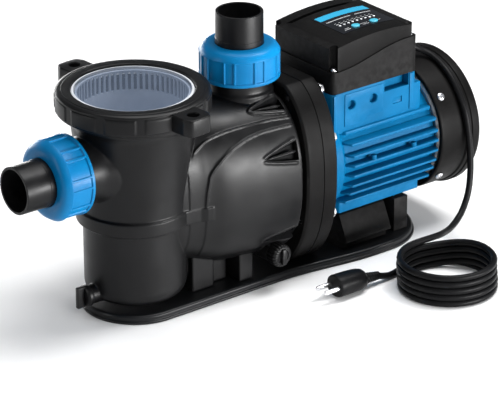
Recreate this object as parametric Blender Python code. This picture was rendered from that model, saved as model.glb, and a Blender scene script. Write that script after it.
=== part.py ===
"""Swimming-pool pump with a strainer pot, a finned motor and a timer controller.

Frame: +Z up, +X along the pump from the suction port to the motor, origin under the strainer pot
on the bottom of the base plate. Sizes below are millimetres; solid() turns them into metres.
"""

import math

import bmesh
import bpy
from mathutils import Vector

MM = 0.001
GAP = 0.3
TINY = 1e-6
SHARP_ANGLE = math.radians(35)
ROUND = 32
INNER_ROUND = 24
SMALL_ROUND = 16

# Axes
MOTOR_Z = 109.0
SUCTION_Z = 165.5
DISCHARGE_X = 137.0
MOTOR_AXIS = (0.0, 0.0, MOTOR_Z)
SUCTION_AXIS = (0.0, 0.0, SUCTION_Z)
DISCHARGE_AXIS = (DISCHARGE_X, 0.0, 0.0)

# Base plate
BASE_HALF = 57.0
BASE_REAR_HALF = 69.0
BASE_REAR_X = 290.0
BASE_TOP = 9.0
ON_BASE = BASE_TOP + GAP

# Strainer
POT_TOP = 226.0
RING_RADIUS = 80.0
RING_BOTTOM = 217.0
RING_TOP = 240.0
LUG_RADIUS = 91.0
LUG_ANGLE = math.radians(4.5)

# Unions: radii and the lengths measured from the outer end of each tail
TAIL_RADIUS = 25.0
TAIL_BORE = 22.2
NUT_RADIUS = 42.4
NECK_RADIUS = 33.0
SUCTION_END = -148.0
DISCHARGE_END = 290.0
TAIL_TO_NUT = 34.0
TAIL_TO_FLANGE = 38.6
TAIL_TO_NECK = 44.6
NUT_LENGTH = 36.0

# Wet end and bracket
VOLUTE_END = 157.0
# x, half width, height over and depth under the motor axis, squareness of the section
CASING = [
    (4, 47, 91, 53, 2.7), (22, 53, 93, 58, 2.7), (34, 55, 94, 63, 2.65), (48, 58.5, 95, 68.5, 2.6),
    (70, 66, 96, 75.5, 2.5), (90, 70, 96.5, 80, 2.45), (110, 73, 97, 83, 2.4), (130, 74, 97.5, 85, 2.35),
    (157, 74.5, 98, 86.5, 2.35), (168, 74.5, 98, 86.5, 2.35),
]
BRACKET_FRONT = 168.0
BRACKET_REAR = 208.0
BRACKET_HALF_Y = 76.0
BRACKET_HALF_Z = 109.0
BRACKET_FLAT_TOP = 101.0
BRACKET_SQUARENESS = 2.35
BOLT_PLACES = [(-40.5, 88.0), (-62.0, 41.0), (-62.5, -44.0), (40.5, 88.0), (62.0, 41.0), (62.5, -44.0)]
# y, z from the motor axis, radius at the rear and front tip of the recess ahead of each bolt
POCKETS = [(-41.0, 86.0, 10.5, 118.0), (-70.5, 43.0, 12.5, 114.0), (-66.0, -51.0, 10.0, 117.0)]

DRAIN_CENTER = (134.0, 0.0, 40.0)
DRAIN_FACE = -62.5
# x and z along the upper edges of the two raised steps on the side of the casing
INNER_STEP = [(47, 55), (47.2, 111), (48.5, 128), (53, 148), (60.5, 156.5), (69.5, 164), (81.5, 170.6), (98.8, 175.8),
              (118.5, 178.3), (154, 177)]
OUTER_STEP = [(36, 58.5), (36.3, 168), (49, 178.5), (58, 182.4), (74, 185.2), (92, 186.3), (135, 185.6), (155, 183.6)]

# Motor
MOTOR_FRONT = 208.4
FIN_RADIUS = 71.0
FIN_FRONT = 231.0
FIN_REAR = 354.0
RAIL_HALF = 46.0
FIN_HEIGHTS = [-43.3, -31.3, -20.7, -8.8, 2.6, 13.4, 25.6]
CORE_RADIUS = 60.0
COWL_FRONT = 355.0
COWL_REAR = 408.0
COWL_RADIUS = 74.0
COWL_RIM_RADIUS = 77.0
SCREW_ANGLES = [38.0, 142.0, 218.0, 322.0]
FOOT_SCREW_PLACES = [(244.0, -33.0), (244.0, 33.0)]

# Controller
BOX_X = (219.0, 335.0)
BOX_HALF_Y = 52.5
BOX_BOTTOM = 190.8
SEAM_LOW = 215.0
SEAM_HIGH = 231.0
LID_FRONT_TOP = 240.3
LID_RISE = 4.3
LID_CROWN = 4.5
SCREW_INSET = 6.5
CORNER_SCREWS = [(x, y) for x in (BOX_X[0] + SCREW_INSET, BOX_X[1] - SCREW_INSET)
                 for y in (SCREW_INSET - BOX_HALF_Y, BOX_HALF_Y - SCREW_INSET)]
PANEL_LOW = (251.5, -31.0)
PANEL_HIGH = (321.5, 21.5)
PANEL_THICK = 1.4
PANEL_PROUD = 0.4
BUTTON_PLACES = [(273.2, -24.0), (297.5, -24.5)]
BUTTON_RADIUS = 4.6

# Cord
CORD_RADIUS = 3.5
COIL_CENTER = (276.0, -174.0)
COIL_RADIUS = 49.5
COIL_PITCH = 7.2
COIL_LAYERS = 5
CORD_ROUTE = [
    (347.0, -4.0, 204.0), (355.0, -4.0, 203.5), (364.0, -4.5, 200.0), (372.0, -5.5, 194.0),
    (380.0, -9.5, 189.2), (386.0, -20.0, 184.4), (386.5, -36.0, 178.0), (386.5, -52.0, 166.8),
    (386.5, -65.0, 151.8), (387.0, -73.8, 134.5), (388.0, -78.2, 114.0), (388.5, -81.0, 92.0),
    (387.0, -84.0, 70.0), (381.0, -88.0, 49.0), (369.0, -93.0, 33.0), (354.0, -99.0, 25.5),
    (338.0, -107.0, 24.5), (322.0, -115.5, 27.5), (306.8, -122.6, 31.0),
]
TAIL_ROUTE = [(243.8, -124.2, 3.6), (238.0, -124.0, 4.6), (233.0, -123.6, 6.4), (227.2, -123.2, 8.4)]
PLUG_START = 225.6
PLUG_Y = -123.0
PLUG_Z = 13.6

MATERIALS = {
    "black_plastic": ((0.012, 0.012, 0.013), 0.38, 0.0),
    "base_plastic": ((0.010, 0.011, 0.013), 0.22, 0.0),
    "blue_plastic": ((0.020, 0.27, 0.56), 0.32, 0.0),
    "blue_paint": ((0.010, 0.30, 0.68), 0.35, 0.0),
    "controller_plastic": ((0.014, 0.014, 0.015), 0.42, 0.0),
    "panel_plastic": ((0.010, 0.012, 0.014), 0.25, 0.0),
    "button_plastic": ((0.16, 0.50, 0.66), 0.40, 0.0),
    "clear_plastic": ((0.80, 0.87, 0.92), 0.06, 0.0),
    "basket_plastic": ((0.62, 0.65, 0.68), 0.45, 0.0),
    "steel": ((0.62, 0.62, 0.62), 0.30, 1.0),
    "zinc": ((0.72, 0.72, 0.70), 0.35, 1.0),
    "copper": ((0.72, 0.34, 0.16), 0.35, 1.0),
    "rubber": ((0.012, 0.012, 0.012), 0.70, 0.0),
    "ceramic": ((0.80, 0.78, 0.72), 0.30, 0.0),
    "circuit_green": ((0.02, 0.16, 0.06), 0.50, 0.0),
    "cord_rubber": ((0.010, 0.010, 0.011), 0.45, 0.0),
}


def clear_scene():
    for obj in list(bpy.data.objects):
        bpy.data.objects.remove(obj)


def material(name):
    """The named material, made once."""
    found = bpy.data.materials.get(name)
    if found:
        return found
    color, roughness, metallic = MATERIALS[name]
    made = bpy.data.materials.new(name)
    made.use_nodes = True
    shader = made.node_tree.nodes["Principled BSDF"]
    shader.inputs["Base Color"].default_value = (*color, 1.0)
    shader.inputs["Roughness"].default_value = roughness
    shader.inputs["Metallic"].default_value = metallic
    if name == "clear_plastic":
        shader.inputs["Transmission Weight"].default_value = 0.9
    return made


def solid(name, bm, finish, origin=(0.0, 0.0, 0.0), parent=None):
    """An object from a bmesh in millimetres, with its origin at origin."""
    bmesh.ops.recalc_face_normals(bm, faces=bm.faces)
    start = Vector(origin)
    for vert in bm.verts:
        vert.co = (vert.co - start) * MM
    mesh = bpy.data.meshes.new(name)
    bm.to_mesh(mesh)
    bm.free()
    mesh.materials.append(material(finish))
    mesh.shade_smooth()
    mesh.set_sharp_from_angle(angle=SHARP_ANGLE)
    obj = bpy.data.objects.new(name, mesh)
    obj.location = start * MM
    bpy.context.scene.collection.objects.link(obj)
    if parent:
        obj.parent = parent
        obj.location = start * MM - parent.location
    return obj


def joint_empty(name, origin):
    empty = bpy.data.objects.new(name, None)
    empty.location = Vector(origin) * MM
    bpy.context.scene.collection.objects.link(empty)
    return empty


def shape(obj, operation, bm):
    """Adds a Boolean of obj with a hidden helper made from bm."""
    helper = solid(f"{obj.name}_{operation.lower()}_{len(obj.modifiers)}", bm, "steel")
    helper.hide_render = True
    helper.display_type = "WIRE"
    modifier = obj.modifiers.new(operation.title(), "BOOLEAN")
    modifier.operation = operation
    modifier.solver = "EXACT"
    modifier.object = helper


def cut(obj, bm):
    shape(obj, "DIFFERENCE", bm)


def join(obj, bm):
    shape(obj, "UNION", bm)


def placed(axis, center, across, up, along):
    """Point beside an axis: Z axis takes (across, up) as (x, y), X axis as (y, z), Y axis as (z, x)."""
    x, y, z = center
    if axis == "X":
        return (x + along, y + across, z + up)
    if axis == "Y":
        return (x + up, y + along, z + across)
    return (x + across, y + up, z + along)


def skin(bm, loops, closed=False):
    """Faces between loops of equal length, or between a loop and a single point, with end caps."""
    pairs = list(zip(loops, loops[1:]))
    if closed:
        pairs.append((loops[-1], loops[0]))
    for first, second in pairs:
        count = max(len(first), len(second))
        for k in range(count):
            following = (k + 1) % count
            quad = [first[k % len(first)], first[following % len(first)]]
            quad += [second[following % len(second)], second[k % len(second)]]
            corners = list(dict.fromkeys(quad))
            if len(corners) > 2:
                bm.faces.new(corners)
    if not closed:
        for loop in (loops[0], loops[-1]):
            if len(loop) > 2:
                bm.faces.new(loop)
    return bm


def turned(profile, axis="Z", center=(0.0, 0.0, 0.0), segments=ROUND, closed=False, into=None):
    """Solid of revolution from (radius, distance along the axis) pairs."""
    bm = into or bmesh.new()
    loops = []
    if not closed and profile[0][0] < TINY and profile[0][1] == profile[1][1]:
        profile = profile[1:]
    if not closed and profile[-1][0] < TINY and profile[-1][1] == profile[-2][1]:
        profile = profile[:-1]
    turn = 0.5 if axis == "X" else 0.0
    for radius, along in profile:
        if radius < TINY:
            loops.append([bm.verts.new(placed(axis, center, 0.0, 0.0, along))])
            continue
        loop = []
        for k in range(segments):
            angle = 2 * math.pi * (k + turn) / segments
            point = placed(axis, center, radius * math.cos(angle), radius * math.sin(angle), along)
            loop.append(bm.verts.new(point))
        loops.append(loop)
    return skin(bm, loops, closed)


def cylinder(axis, center, radius, start, end, segments=SMALL_ROUND, into=None):
    return turned([(radius, start), (radius, end)], axis, center, segments, into=into)


def tube(axis, center, inner, outer, start, end, segments=ROUND, into=None):
    profile = [(inner, start), (outer, start), (outer, end), (inner, end)]
    return turned(profile, axis, center, segments, closed=True, into=into)


def box(low, high, into=None):
    bm = into or bmesh.new()
    corners = [(low[0], low[1]), (high[0], low[1]), (high[0], high[1]), (low[0], high[1])]
    loops = [[bm.verts.new((x, y, z)) for x, y in corners] for z in (low[2], high[2])]
    return skin(bm, loops)


def lofted(outlines, into=None):
    """Solid through outlines of 3-D points with the same number of points each."""
    bm = into or bmesh.new()
    return skin(bm, [[bm.verts.new(point) for point in outline] for outline in outlines])


def arc(center, radius, start, end, count):
    """Points on a circle from start to end degrees, both included."""
    steps = [math.radians(start + (end - start) * k / (count - 1)) for k in range(count)]
    return [(center[0] + radius * math.cos(a), center[1] + radius * math.sin(a)) for a in steps]


def ease(value):
    value = min(max(value, 0.0), 1.0)
    return value * value * (3 - 2 * value)


# ---- base -------------------------------------------------------------------------------------

def base_outline(inset):
    """Plan of the base: a round nose, parallel sides, then a wider round tail."""
    front = BASE_HALF - inset
    rear = BASE_REAR_HALF - inset
    flare = [(150 + 24 * k, front + (rear - front) * ease(k / 5)) for k in range(6)]
    side = flare + [(BASE_REAR_X - 4, rear)]
    points = arc((0, 0), front, 90, 270, 15)
    points += [(x, -y) for x, y in side]
    points += arc((BASE_REAR_X, 0), rear, -90, 90, 15)
    points += [(x, y) for x, y in reversed(side)]
    return points


def make_base_plate():
    levels = [(0.0, 0.0), (0.0, 2.6), (1.6, 3.0), (1.6, 7.4), (3.2, BASE_TOP)]
    outlines = [[(x, y, z) for x, y in base_outline(inset)] for inset, z in levels]
    plate = solid("base_plate", lofted(outlines), "base_plastic")
    for x, y in FOOT_SCREW_PLACES:
        cut(plate, cylinder("Z", (x, y, 0), 2.2, -1, 12, 12))


# ---- pump body --------------------------------------------------------------------------------

def pot_outside():
    profile = [(0, 14), (38, 14), (45, 15.8), (50.6, 20.4), (53, 27), (53, 95), (57, 97.5)]
    profile += [(60, 98.5), (60, 112), (57.6, 113.5), (57.6, 130), (60, 165), (63, 194)]
    profile += [(64, 206), (68, 210.5), (68, POT_TOP), (0, POT_TOP)]
    return turned(profile)


def pot_inside():
    profile = [(0, 19), (38, 19), (46, 23), (48, 29), (48, 93), (52.6, 99), (52.6, 150), (58.6, 192)]
    profile += [(58.6, 209), (61, 209), (61, POT_TOP + 6), (0, POT_TOP + 6)]
    return turned(profile, segments=INNER_ROUND)


def casing_section(x, inset, count=36):
    """Outline of the impeller casing across the motor axis: taller than wide, and wider toward the rear."""
    for before, after in zip(CASING, CASING[1:]):
        if before[0] <= x <= after[0]:
            share = (x - before[0]) / (after[0] - before[0])
            half, over, under, power = [a + (b - a) * share for a, b in zip(before[1:], after[1:])]
    points = []
    for k in range(count):
        angle = 2 * math.pi * (k + 0.5) / count
        scale = (abs(math.cos(angle)) ** power + abs(math.sin(angle)) ** power) ** (-1 / power)
        reach = over if math.sin(angle) > 0 else under
        points.append((x, (half - inset) * scale * math.cos(angle),
                       MOTOR_Z + (reach - inset) * scale * math.sin(angle)))
    return points


def casing_outside():
    stations = [(row[0], 0.0) for row in CASING[:-1]] + [(VOLUTE_END + 0.5, 4.5), (BRACKET_FRONT - 1.5, 4.5)]
    return lofted([casing_section(x, inset) for x, inset in stations])


def raised_step(name, outline, height):
    """Part of a larger casing, as far as the outline in the XZ plane reaches."""
    rear = outline[-1][0]
    stations = [row[0] for row in CASING if 22 <= row[0] < rear] + [rear]
    whole = solid(name, lofted([casing_section(x, -height) for x in stations]), "black_plastic")
    outline = outline + [(rear + 5, outline[-1][1]), (rear + 5, outline[0][1])]
    shape(whole, "INTERSECT", lofted([[(x, y, z) for x, z in outline] for y in (-90, 90)]))
    whole.hide_render = True
    whole.display_type = "WIRE"
    return whole


def neck(axis, center, start, end, flare):
    """Threaded stub for a union nut, with a fillet at its root."""
    profile = [(0, start), (NECK_RADIUS + 4, start), (NECK_RADIUS + 4, flare - 3)]
    profile += [(NECK_RADIUS + 1.2, flare), (NECK_RADIUS, flare + 3), (NECK_RADIUS, end), (0, end)]
    return turned(profile, axis, center)


def bolt_point(place):
    return (0.0, place[0], MOTOR_Z + place[1])


def make_pump_body():
    body = solid("pump_body", pot_outside(), "black_plastic")
    join(body, casing_outside())
    for name, outline, height in (("outer_step", OUTER_STEP, 0.7), ("inner_step", INNER_STEP, 1.4)):
        union = body.modifiers.new(name, "BOOLEAN")
        union.operation = "UNION"
        union.object = raised_step(name, outline, height)
    for side in (-1, 1):
        outline = [(3, 53), (13, 57.9), (22, 56.9), (34, 57.3), (47, 60.7), (54.6, 62.7), (54.6, 53), (3, 49)]
        join(body, lofted([[(x, side * y, z) for x, y in outline] for z in (99.4, 113.1)]))
    join(body, neck("Z", DISCHARGE_AXIS, 150, DISCHARGE_END - TAIL_TO_NECK, 209))
    suction = [(0, -30), (NECK_RADIUS, -30), (NECK_RADIUS, SUCTION_END + TAIL_TO_NECK),
               (0, SUCTION_END + TAIL_TO_NECK)]
    join(body, turned(suction, "X", SUCTION_AXIS))
    cut(body, box((BRACKET_FRONT - 0.6, -60, 140), (BRACKET_FRONT + 40, 60, 225)))
    join(body, box((46, -37, ON_BASE), (74, 37, 60)))
    join(body, box((100, -47, ON_BASE), (118, 47, 62)))
    join(body, turned([(0, -40), (10, -40), (10, -60), (0, -60)], "X", (0, 0, 25), 18))
    join(body, turned([(0, -20), (11.4, -20), (11.4, DRAIN_FACE), (0, DRAIN_FACE)], "Y", DRAIN_CENTER, 18))
    cut(body, pot_inside())
    cavity = [(0, 62), (57.5, 62), (64, 96), (66, 100), (66, 190), (0, 190)]
    cut(body, turned(cavity, "X", MOTOR_AXIS, INNER_ROUND))
    cut(body, cylinder("X", MOTOR_AXIS, 21, 30, 80, 16))
    cut(body, cylinder("X", SUCTION_AXIS, 24, SUCTION_END, -40, 20))
    cut(body, cylinder("Z", DISCHARGE_AXIS, 24, 150, 300, 20))
    cut(body, tube("X", SUCTION_AXIS, 26.2, 29.8, SUCTION_END + TAIL_TO_NECK - 5,
                   SUCTION_END + TAIL_TO_NECK + 2.6, 22))
    cut(body, tube("Z", DISCHARGE_AXIS, 26.2, 29.8, DISCHARGE_END - TAIL_TO_NECK - 2.6,
                   DISCHARGE_END - TAIL_TO_NECK + 5, 22))
    cut(body, cylinder("X", (0, 0, 25), 5.2, -70, -40, 10))
    cut(body, cylinder("Y", DRAIN_CENTER, 5.2, -75, -12, 10))
    pockets = bmesh.new()
    for y, z, radius, tip in POCKETS:
        middle = (tip + VOLUTE_END) / 2
        profile = [(0.5, tip), (0.66 * radius, middle), (radius, VOLUTE_END - 0.4), (0, VOLUTE_END - 0.4)]
        for side in (-1, 1):
            turned(profile, "X", (0.0, side * y, MOTOR_Z + z), 14, into=pockets)
    cut(body, pockets)


# ---- unions -----------------------------------------------------------------------------------

def along(axis, end, distance):
    """Coordinate at distance inward from the outer end of a union."""
    return end + distance if axis == "X" else end - distance


def make_union(name, axis, center, end):
    """Tail, O-ring and union nut of one port."""
    def at(distance):
        return along(axis, end, distance)

    tail = [(TAIL_BORE, at(0)), (TAIL_RADIUS - 0.8, at(0)), (TAIL_RADIUS, at(0.8))]
    tail += [(TAIL_RADIUS, at(TAIL_TO_FLANGE)), (32.4, at(TAIL_TO_FLANGE)), (32.4, at(TAIL_TO_NECK - GAP))]
    tail += [(TAIL_BORE, at(TAIL_TO_NECK - GAP))]
    solid(f"{name}_tail", turned(tail, axis, center, INNER_ROUND, closed=True), "black_plastic")

    middle = at(TAIL_TO_NECK + 1.1)
    oring = [(28 + 1.3 * math.cos(a), middle + 1.3 * math.sin(a)) for a in
             [math.radians(60 * k + 30) for k in range(6)]]
    solid(f"{name}_oring", turned(oring, axis, center, 24, closed=True), "rubber")

    bm = bmesh.new()
    panels = 16
    steps = 3
    levels = [(4.6, 0.0, 0), (1.2, 2.0, 0), (0.0, 8.0, 0)]
    levels += [(0.0, 9.0, 1), (0.0, NUT_LENGTH - 5.4, 1), (0.0, NUT_LENGTH - 4.4, 0), (0.6, NUT_LENGTH, 0)]
    loops = []
    for inset, distance, grooved in levels:
        loop = []
        for k in range(panels * steps):
            recess = 1.3 if grooved and k % steps == 1 else 0.0
            angle = 2 * math.pi * k / (panels * steps)
            radius = NUT_RADIUS - inset - recess
            point = placed(axis, center, radius * math.cos(angle), radius * math.sin(angle),
                           at(TAIL_TO_NUT + distance))
            loop.append(bm.verts.new(point))
        loops.append(loop)
    skin(bm, loops)
    origin = placed(axis, center, 0, 0, at(TAIL_TO_NUT))
    nut = solid(f"{name}_nut", bm, "blue_plastic", origin)
    hole = [(0, -5), (TAIL_RADIUS + 0.5, -5), (TAIL_RADIUS + 0.5, TAIL_TO_FLANGE - TAIL_TO_NUT - GAP)]
    hole += [(33.4, TAIL_TO_FLANGE - TAIL_TO_NUT - GAP), (33.4, NUT_LENGTH + 5), (0, NUT_LENGTH + 5)]
    hole = [(radius, at(TAIL_TO_NUT + distance)) for radius, distance in hole]
    cut(nut, turned(hole, axis, center, INNER_ROUND))


# ---- strainer ---------------------------------------------------------------------------------

def make_lid_ring():
    """Locking ring with grip pads round its side and two lugs with a hole each."""
    bm = bmesh.new()
    pads = 12
    steps = 4
    levels = [(1.4, RING_BOTTOM, 0), (0.6, RING_BOTTOM + 1.5, 0), (0.6, RING_BOTTOM + 3, 0)]
    levels += [(0.6, RING_BOTTOM + 3.2, 1), (0.6, RING_TOP - 5.2, 1), (0.6, RING_TOP - 5, 0)]
    levels += [(0.6, RING_TOP - 2, 0), (2.4, RING_TOP, 0)]
    loops = []
    for inset, z, padded in levels:
        loop = []
        for k in range(pads * steps):
            angle = 2 * math.pi * k / (pads * steps)
            radius = RING_RADIUS - inset + (1.0 if padded and k % steps < 3 else 0.0)
            loop.append(bm.verts.new((radius * math.cos(angle), radius * math.sin(angle), z)))
        loops.append(loop)
    ring = solid("lid_ring", skin(bm, loops), "black_plastic")
    for side in (-1, 1):
        middle = math.radians(90 * side) + LUG_ANGLE
        half = 16.0
        outline = [(70, -half), (LUG_RADIUS + 6, -half), (LUG_RADIUS + 14, -half + 8)]
        outline += [(LUG_RADIUS + 14, half - 8), (LUG_RADIUS + 6, half), (70, half)]
        cosine, sine = math.cos(middle), math.sin(middle)
        turned_outline = [(x * cosine - y * sine, x * sine + y * cosine) for x, y in outline]
        heights = (RING_BOTTOM + 2, RING_TOP - 3)
        join(ring, lofted([[(x, y, z) for x, y in turned_outline] for z in heights]))
    hole = [(0, RING_BOTTOM - 5), (68.5, RING_BOTTOM - 5), (68.5, 234.6), (63.4, 234.6), (63.4, RING_TOP + 5),
            (0, RING_TOP + 5)]
    cut(ring, turned(hole))
    for side in (-1, 1):
        middle = math.radians(90 * side) + LUG_ANGLE
        place = (LUG_RADIUS * math.cos(middle), LUG_RADIUS * math.sin(middle), 0)
        cut(ring, cylinder("Z", place, 6.2, RING_BOTTOM - 5, RING_TOP + 5, 20))


def make_clear_lid():
    profile = [(0, 236), (59.6, 236), (59.6, 230), (66.8, 230), (66.8, 234.2), (62.8, 234.2)]
    profile += [(62.8, 237.4), (61.8, 238.4), (0, 238.4)]
    solid("clear_lid", turned(profile), "clear_plastic")


def make_lid_oring():
    middle = (POT_TOP + 230) / 2
    ring = [(64.5 + 1.6 * math.cos(a), middle + 1.6 * math.sin(a)) for a in
            [math.radians(60 * k + 30) for k in range(6)]]
    solid("lid_oring", turned(ring, segments=INNER_ROUND, closed=True), "rubber")


def make_basket():
    """Tapered strainer basket with a slotted wall and a slotted collar under the lid."""
    profile = [(0, 38), (38, 38), (42, 42), (44, 95), (55, 190), (57.5, 209.4), (60, 209.4), (60, 213.3)]
    profile += [(58.6, 213.3), (58.6, 235.4), (56.6, 235.4), (56.6, 214), (55.2, 208), (52.8, 190)]
    profile += [(41.8, 95), (39.8, 44), (0, 41)]
    basket = solid("basket", turned(profile, segments=20), "basket_plastic")
    cut(basket, basket_slots(18, 34, 60, 4.0, 56, 172))
    cut(basket, basket_slots(18, 50, 64, 5.0, 219, 240))


def basket_slots(count, inner, outer, width, bottom, top):
    """Ring of upright slot cutters."""
    bm = bmesh.new()
    for k in range(count):
        angle = 2 * math.pi * (k + 0.5) / count
        cosine, sine = math.cos(angle), math.sin(angle)
        corners = [(inner, -width / 2), (outer, -width / 2), (outer, width / 2), (inner, width / 2)]
        flat = [(x * cosine - y * sine, x * sine + y * cosine) for x, y in corners]
        lofted([[(x, y, z) for x, y in flat] for z in (bottom, top)], into=bm)
    return bm


def make_drain_plugs():
    """Wing-handled plug under the suction port, and a ribbed knob on the volute."""
    start = -60 - GAP
    profile = [(0, -50), (4.6, -50), (4.6, start), (11, start), (11.6, start - 1), (11.6, start - 5)]
    profile += [(10, start - 6), (0, start - 6)]
    plug = solid("strainer_drain_plug", turned(profile, "X", (0, 0, 25), 24), "black_plastic", (start, 0, 25))
    join(plug, box((start - 14.5, -2.2, 14.2), (start - 5, 2.2, 36)))
    start = DRAIN_FACE - GAP
    profile = [(0, -50), (4.6, -50), (4.6, start), (0, start)]
    knob = turned(profile, "Y", DRAIN_CENTER, 16)
    knob = solid("volute_drain_plug", knob, "black_plastic", (DRAIN_CENTER[0], start, DRAIN_CENTER[2]))
    bm = bmesh.new()
    ribs = 20
    loops = []
    for distance, inset in ((0.0, 0.6), (1.0, 0.0), (12.0, 0.0), (14.0, 2.0)):
        loop = []
        for k in range(ribs * 2):
            radius = 12.4 - inset - (0.9 if k % 2 else 0.0)
            angle = math.pi * k / ribs
            loop.append(bm.verts.new(placed("Y", DRAIN_CENTER, radius * math.cos(angle),
                                            radius * math.sin(angle), start - distance)))
        loops.append(loop)
    join(knob, skin(bm, loops))
    x, _, z = DRAIN_CENTER
    join(knob, box((x - 2.4, start - 17, z - 8), (x + 2.4, start - 13, z + 8)))


# ---- bracket, rotor and seal ------------------------------------------------------------------

def bracket_outline(inset):
    """Oval seen along X, with a flat top and a flat foot on the base plate."""
    points = []
    for k in range(40):
        angle = 2 * math.pi * (k + 0.5) / 40
        scale = (abs(math.cos(angle)) ** BRACKET_SQUARENESS
                 + abs(math.sin(angle)) ** BRACKET_SQUARENESS) ** (-1 / BRACKET_SQUARENESS)
        y = (BRACKET_HALF_Y - inset) * scale * math.cos(angle)
        z = (BRACKET_HALF_Z - inset) * scale * math.sin(angle)
        z = min(max(z, ON_BASE - MOTOR_Z), BRACKET_FLAT_TOP - inset)
        points.append((y, MOTOR_Z + z))
    return points


def make_motor_bracket():
    levels = [(BRACKET_FRONT, 4.0), (BRACKET_FRONT + 3.5, 0.4), (BRACKET_FRONT + 5, 0.0), (188.5, 0.0)]
    levels += [(188.9, 0.8), (190.1, 0.8), (190.5, 0.0), (BRACKET_REAR - 2, 0.0), (BRACKET_REAR, 1.6)]
    bm = lofted([[(x, y, z) for y, z in bracket_outline(inset)] for x, inset in levels])
    bracket = solid("motor_bracket", bm, "black_plastic")
    spigot = [(0, 158), (64, 158), (65.4, 160), (65.4, BRACKET_FRONT + 2), (0, BRACKET_FRONT + 2)]
    join(bracket, turned(spigot, "X", MOTOR_AXIS))
    bore = [(0, 150), (13, 150), (13, 167), (9, 167), (9, 186), (46, 186), (46, 220), (0, 220)]
    cut(bracket, turned(bore, "X", MOTOR_AXIS, 32))
    holes = bmesh.new()
    for place in BOLT_PLACES:
        cylinder("X", bolt_point(place), 3.4, 150, 220, 12, into=holes)
    cut(bracket, holes)


def make_bracket_bolts():
    for number, place in enumerate(BOLT_PLACES, 1):
        head = BRACKET_REAR + GAP
        profile = [(0, 169), (3.0, 169), (3.0, head), (0, head)]
        bolt = solid(f"bracket_bolt_{number}", turned(profile, "X", bolt_point(place), 8), "zinc")
        profile = [(0, head - 0.01), (7.0, head - 0.01), (7.2, head + 1.2), (5.8, head + 1.4)]
        profile += [(5.6, head + 5.2), (0, head + 5.6)]
        join(bolt, turned(profile, "X", bolt_point(place), 6))


def make_rotor():
    """Shaft, rotor core, impeller, rotating seal and fan, all on one joint empty."""
    axle = joint_empty("rotor_axis", (0, 0, MOTOR_Z))
    shaft = [(0, 116), (6.0, 116), (6.0, 150), (7.0, 152), (7.0, 392), (0, 393)]
    solid("motor_shaft", turned(shaft, "X", MOTOR_AXIS, 16), "steel", MOTOR_AXIS, axle)
    solid("rotor_core", tube("X", MOTOR_AXIS, 7.3, 34, 250, 330, 24), "steel", MOTOR_AXIS, axle)
    hub = turned([(6.3, 124), (12, 124), (12, 142), (54, 144), (54, 147), (6.3, 147)], "X", MOTOR_AXIS, 20,
                 closed=True)
    impeller = solid("impeller", hub, "black_plastic", MOTOR_AXIS, axle)
    blades = bmesh.new()
    for k in range(6):
        outline = []
        for thickness in (-1.2, 1.2):
            curve = [(10.5 + 42 * t, math.radians(60 * k - 48 * t)) for t in (0, 0.5, 1)]
            row = [(r * math.cos(a) - thickness * math.sin(a), r * math.sin(a) + thickness * math.cos(a))
                   for r, a in curve]
            outline += row if thickness < 0 else row[::-1]
        lofted([[(x, y, MOTOR_Z + z) for y, z in outline] for x in (131, 143.5)], into=blades)
    join(impeller, blades)
    seal = [(7.3, 149), (10, 149), (12, 151), (12, 158), (7.3, 158)]
    solid("rotating_seal", turned(seal, "X", MOTOR_AXIS, 24, closed=True), "ceramic", MOTOR_AXIS, axle)
    fan_hub = tube("X", MOTOR_AXIS, 7.3, 15, 372, 390, 24)
    fan = solid("cooling_fan", fan_hub, "black_plastic", MOTOR_AXIS, axle)
    blades = bmesh.new()
    for k in range(6):
        angle = math.radians(60 * k + 12)
        cosine, sine = math.cos(angle), math.sin(angle)
        corners = [(13, -1.2), (60, -1.2), (60, 1.2), (13, 1.2)]
        flat = [(y * cosine - z * sine, y * sine + z * cosine) for y, z in corners]
        lofted([[(x, y, MOTOR_Z + z) for y, z in flat] for x in (374, 388)], into=blades)
    join(fan, blades)


def make_seal_seat_and_diffuser():
    seat = [(8.0, 158.4), (12.6, 158.4), (12.6, 166.6), (8.0, 166.6)]
    solid("stationary_seal", turned(seat, "X", MOTOR_AXIS, 24, closed=True), "ceramic")
    diffuser = [(22, 98), (58, 108), (61, 112), (61, 156), (57.5, 156), (57.5, 114), (55, 112), (22, 101.5)]
    solid("diffuser", turned(diffuser, "X", MOTOR_AXIS, 20, closed=True), "black_plastic")


# ---- motor ------------------------------------------------------------------------------------

def fin_outline(half):
    """Plan of one cooling fin: a plate across the motor with pointed ends."""
    return [(FIN_FRONT, -half + 9), (FIN_FRONT + 4, -half), (FIN_REAR - 2, -half), (FIN_REAR, -half + 5),
            (FIN_REAR, half - 5), (FIN_REAR - 2, half), (FIN_FRONT + 4, half), (FIN_FRONT, half - 9)]


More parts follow.
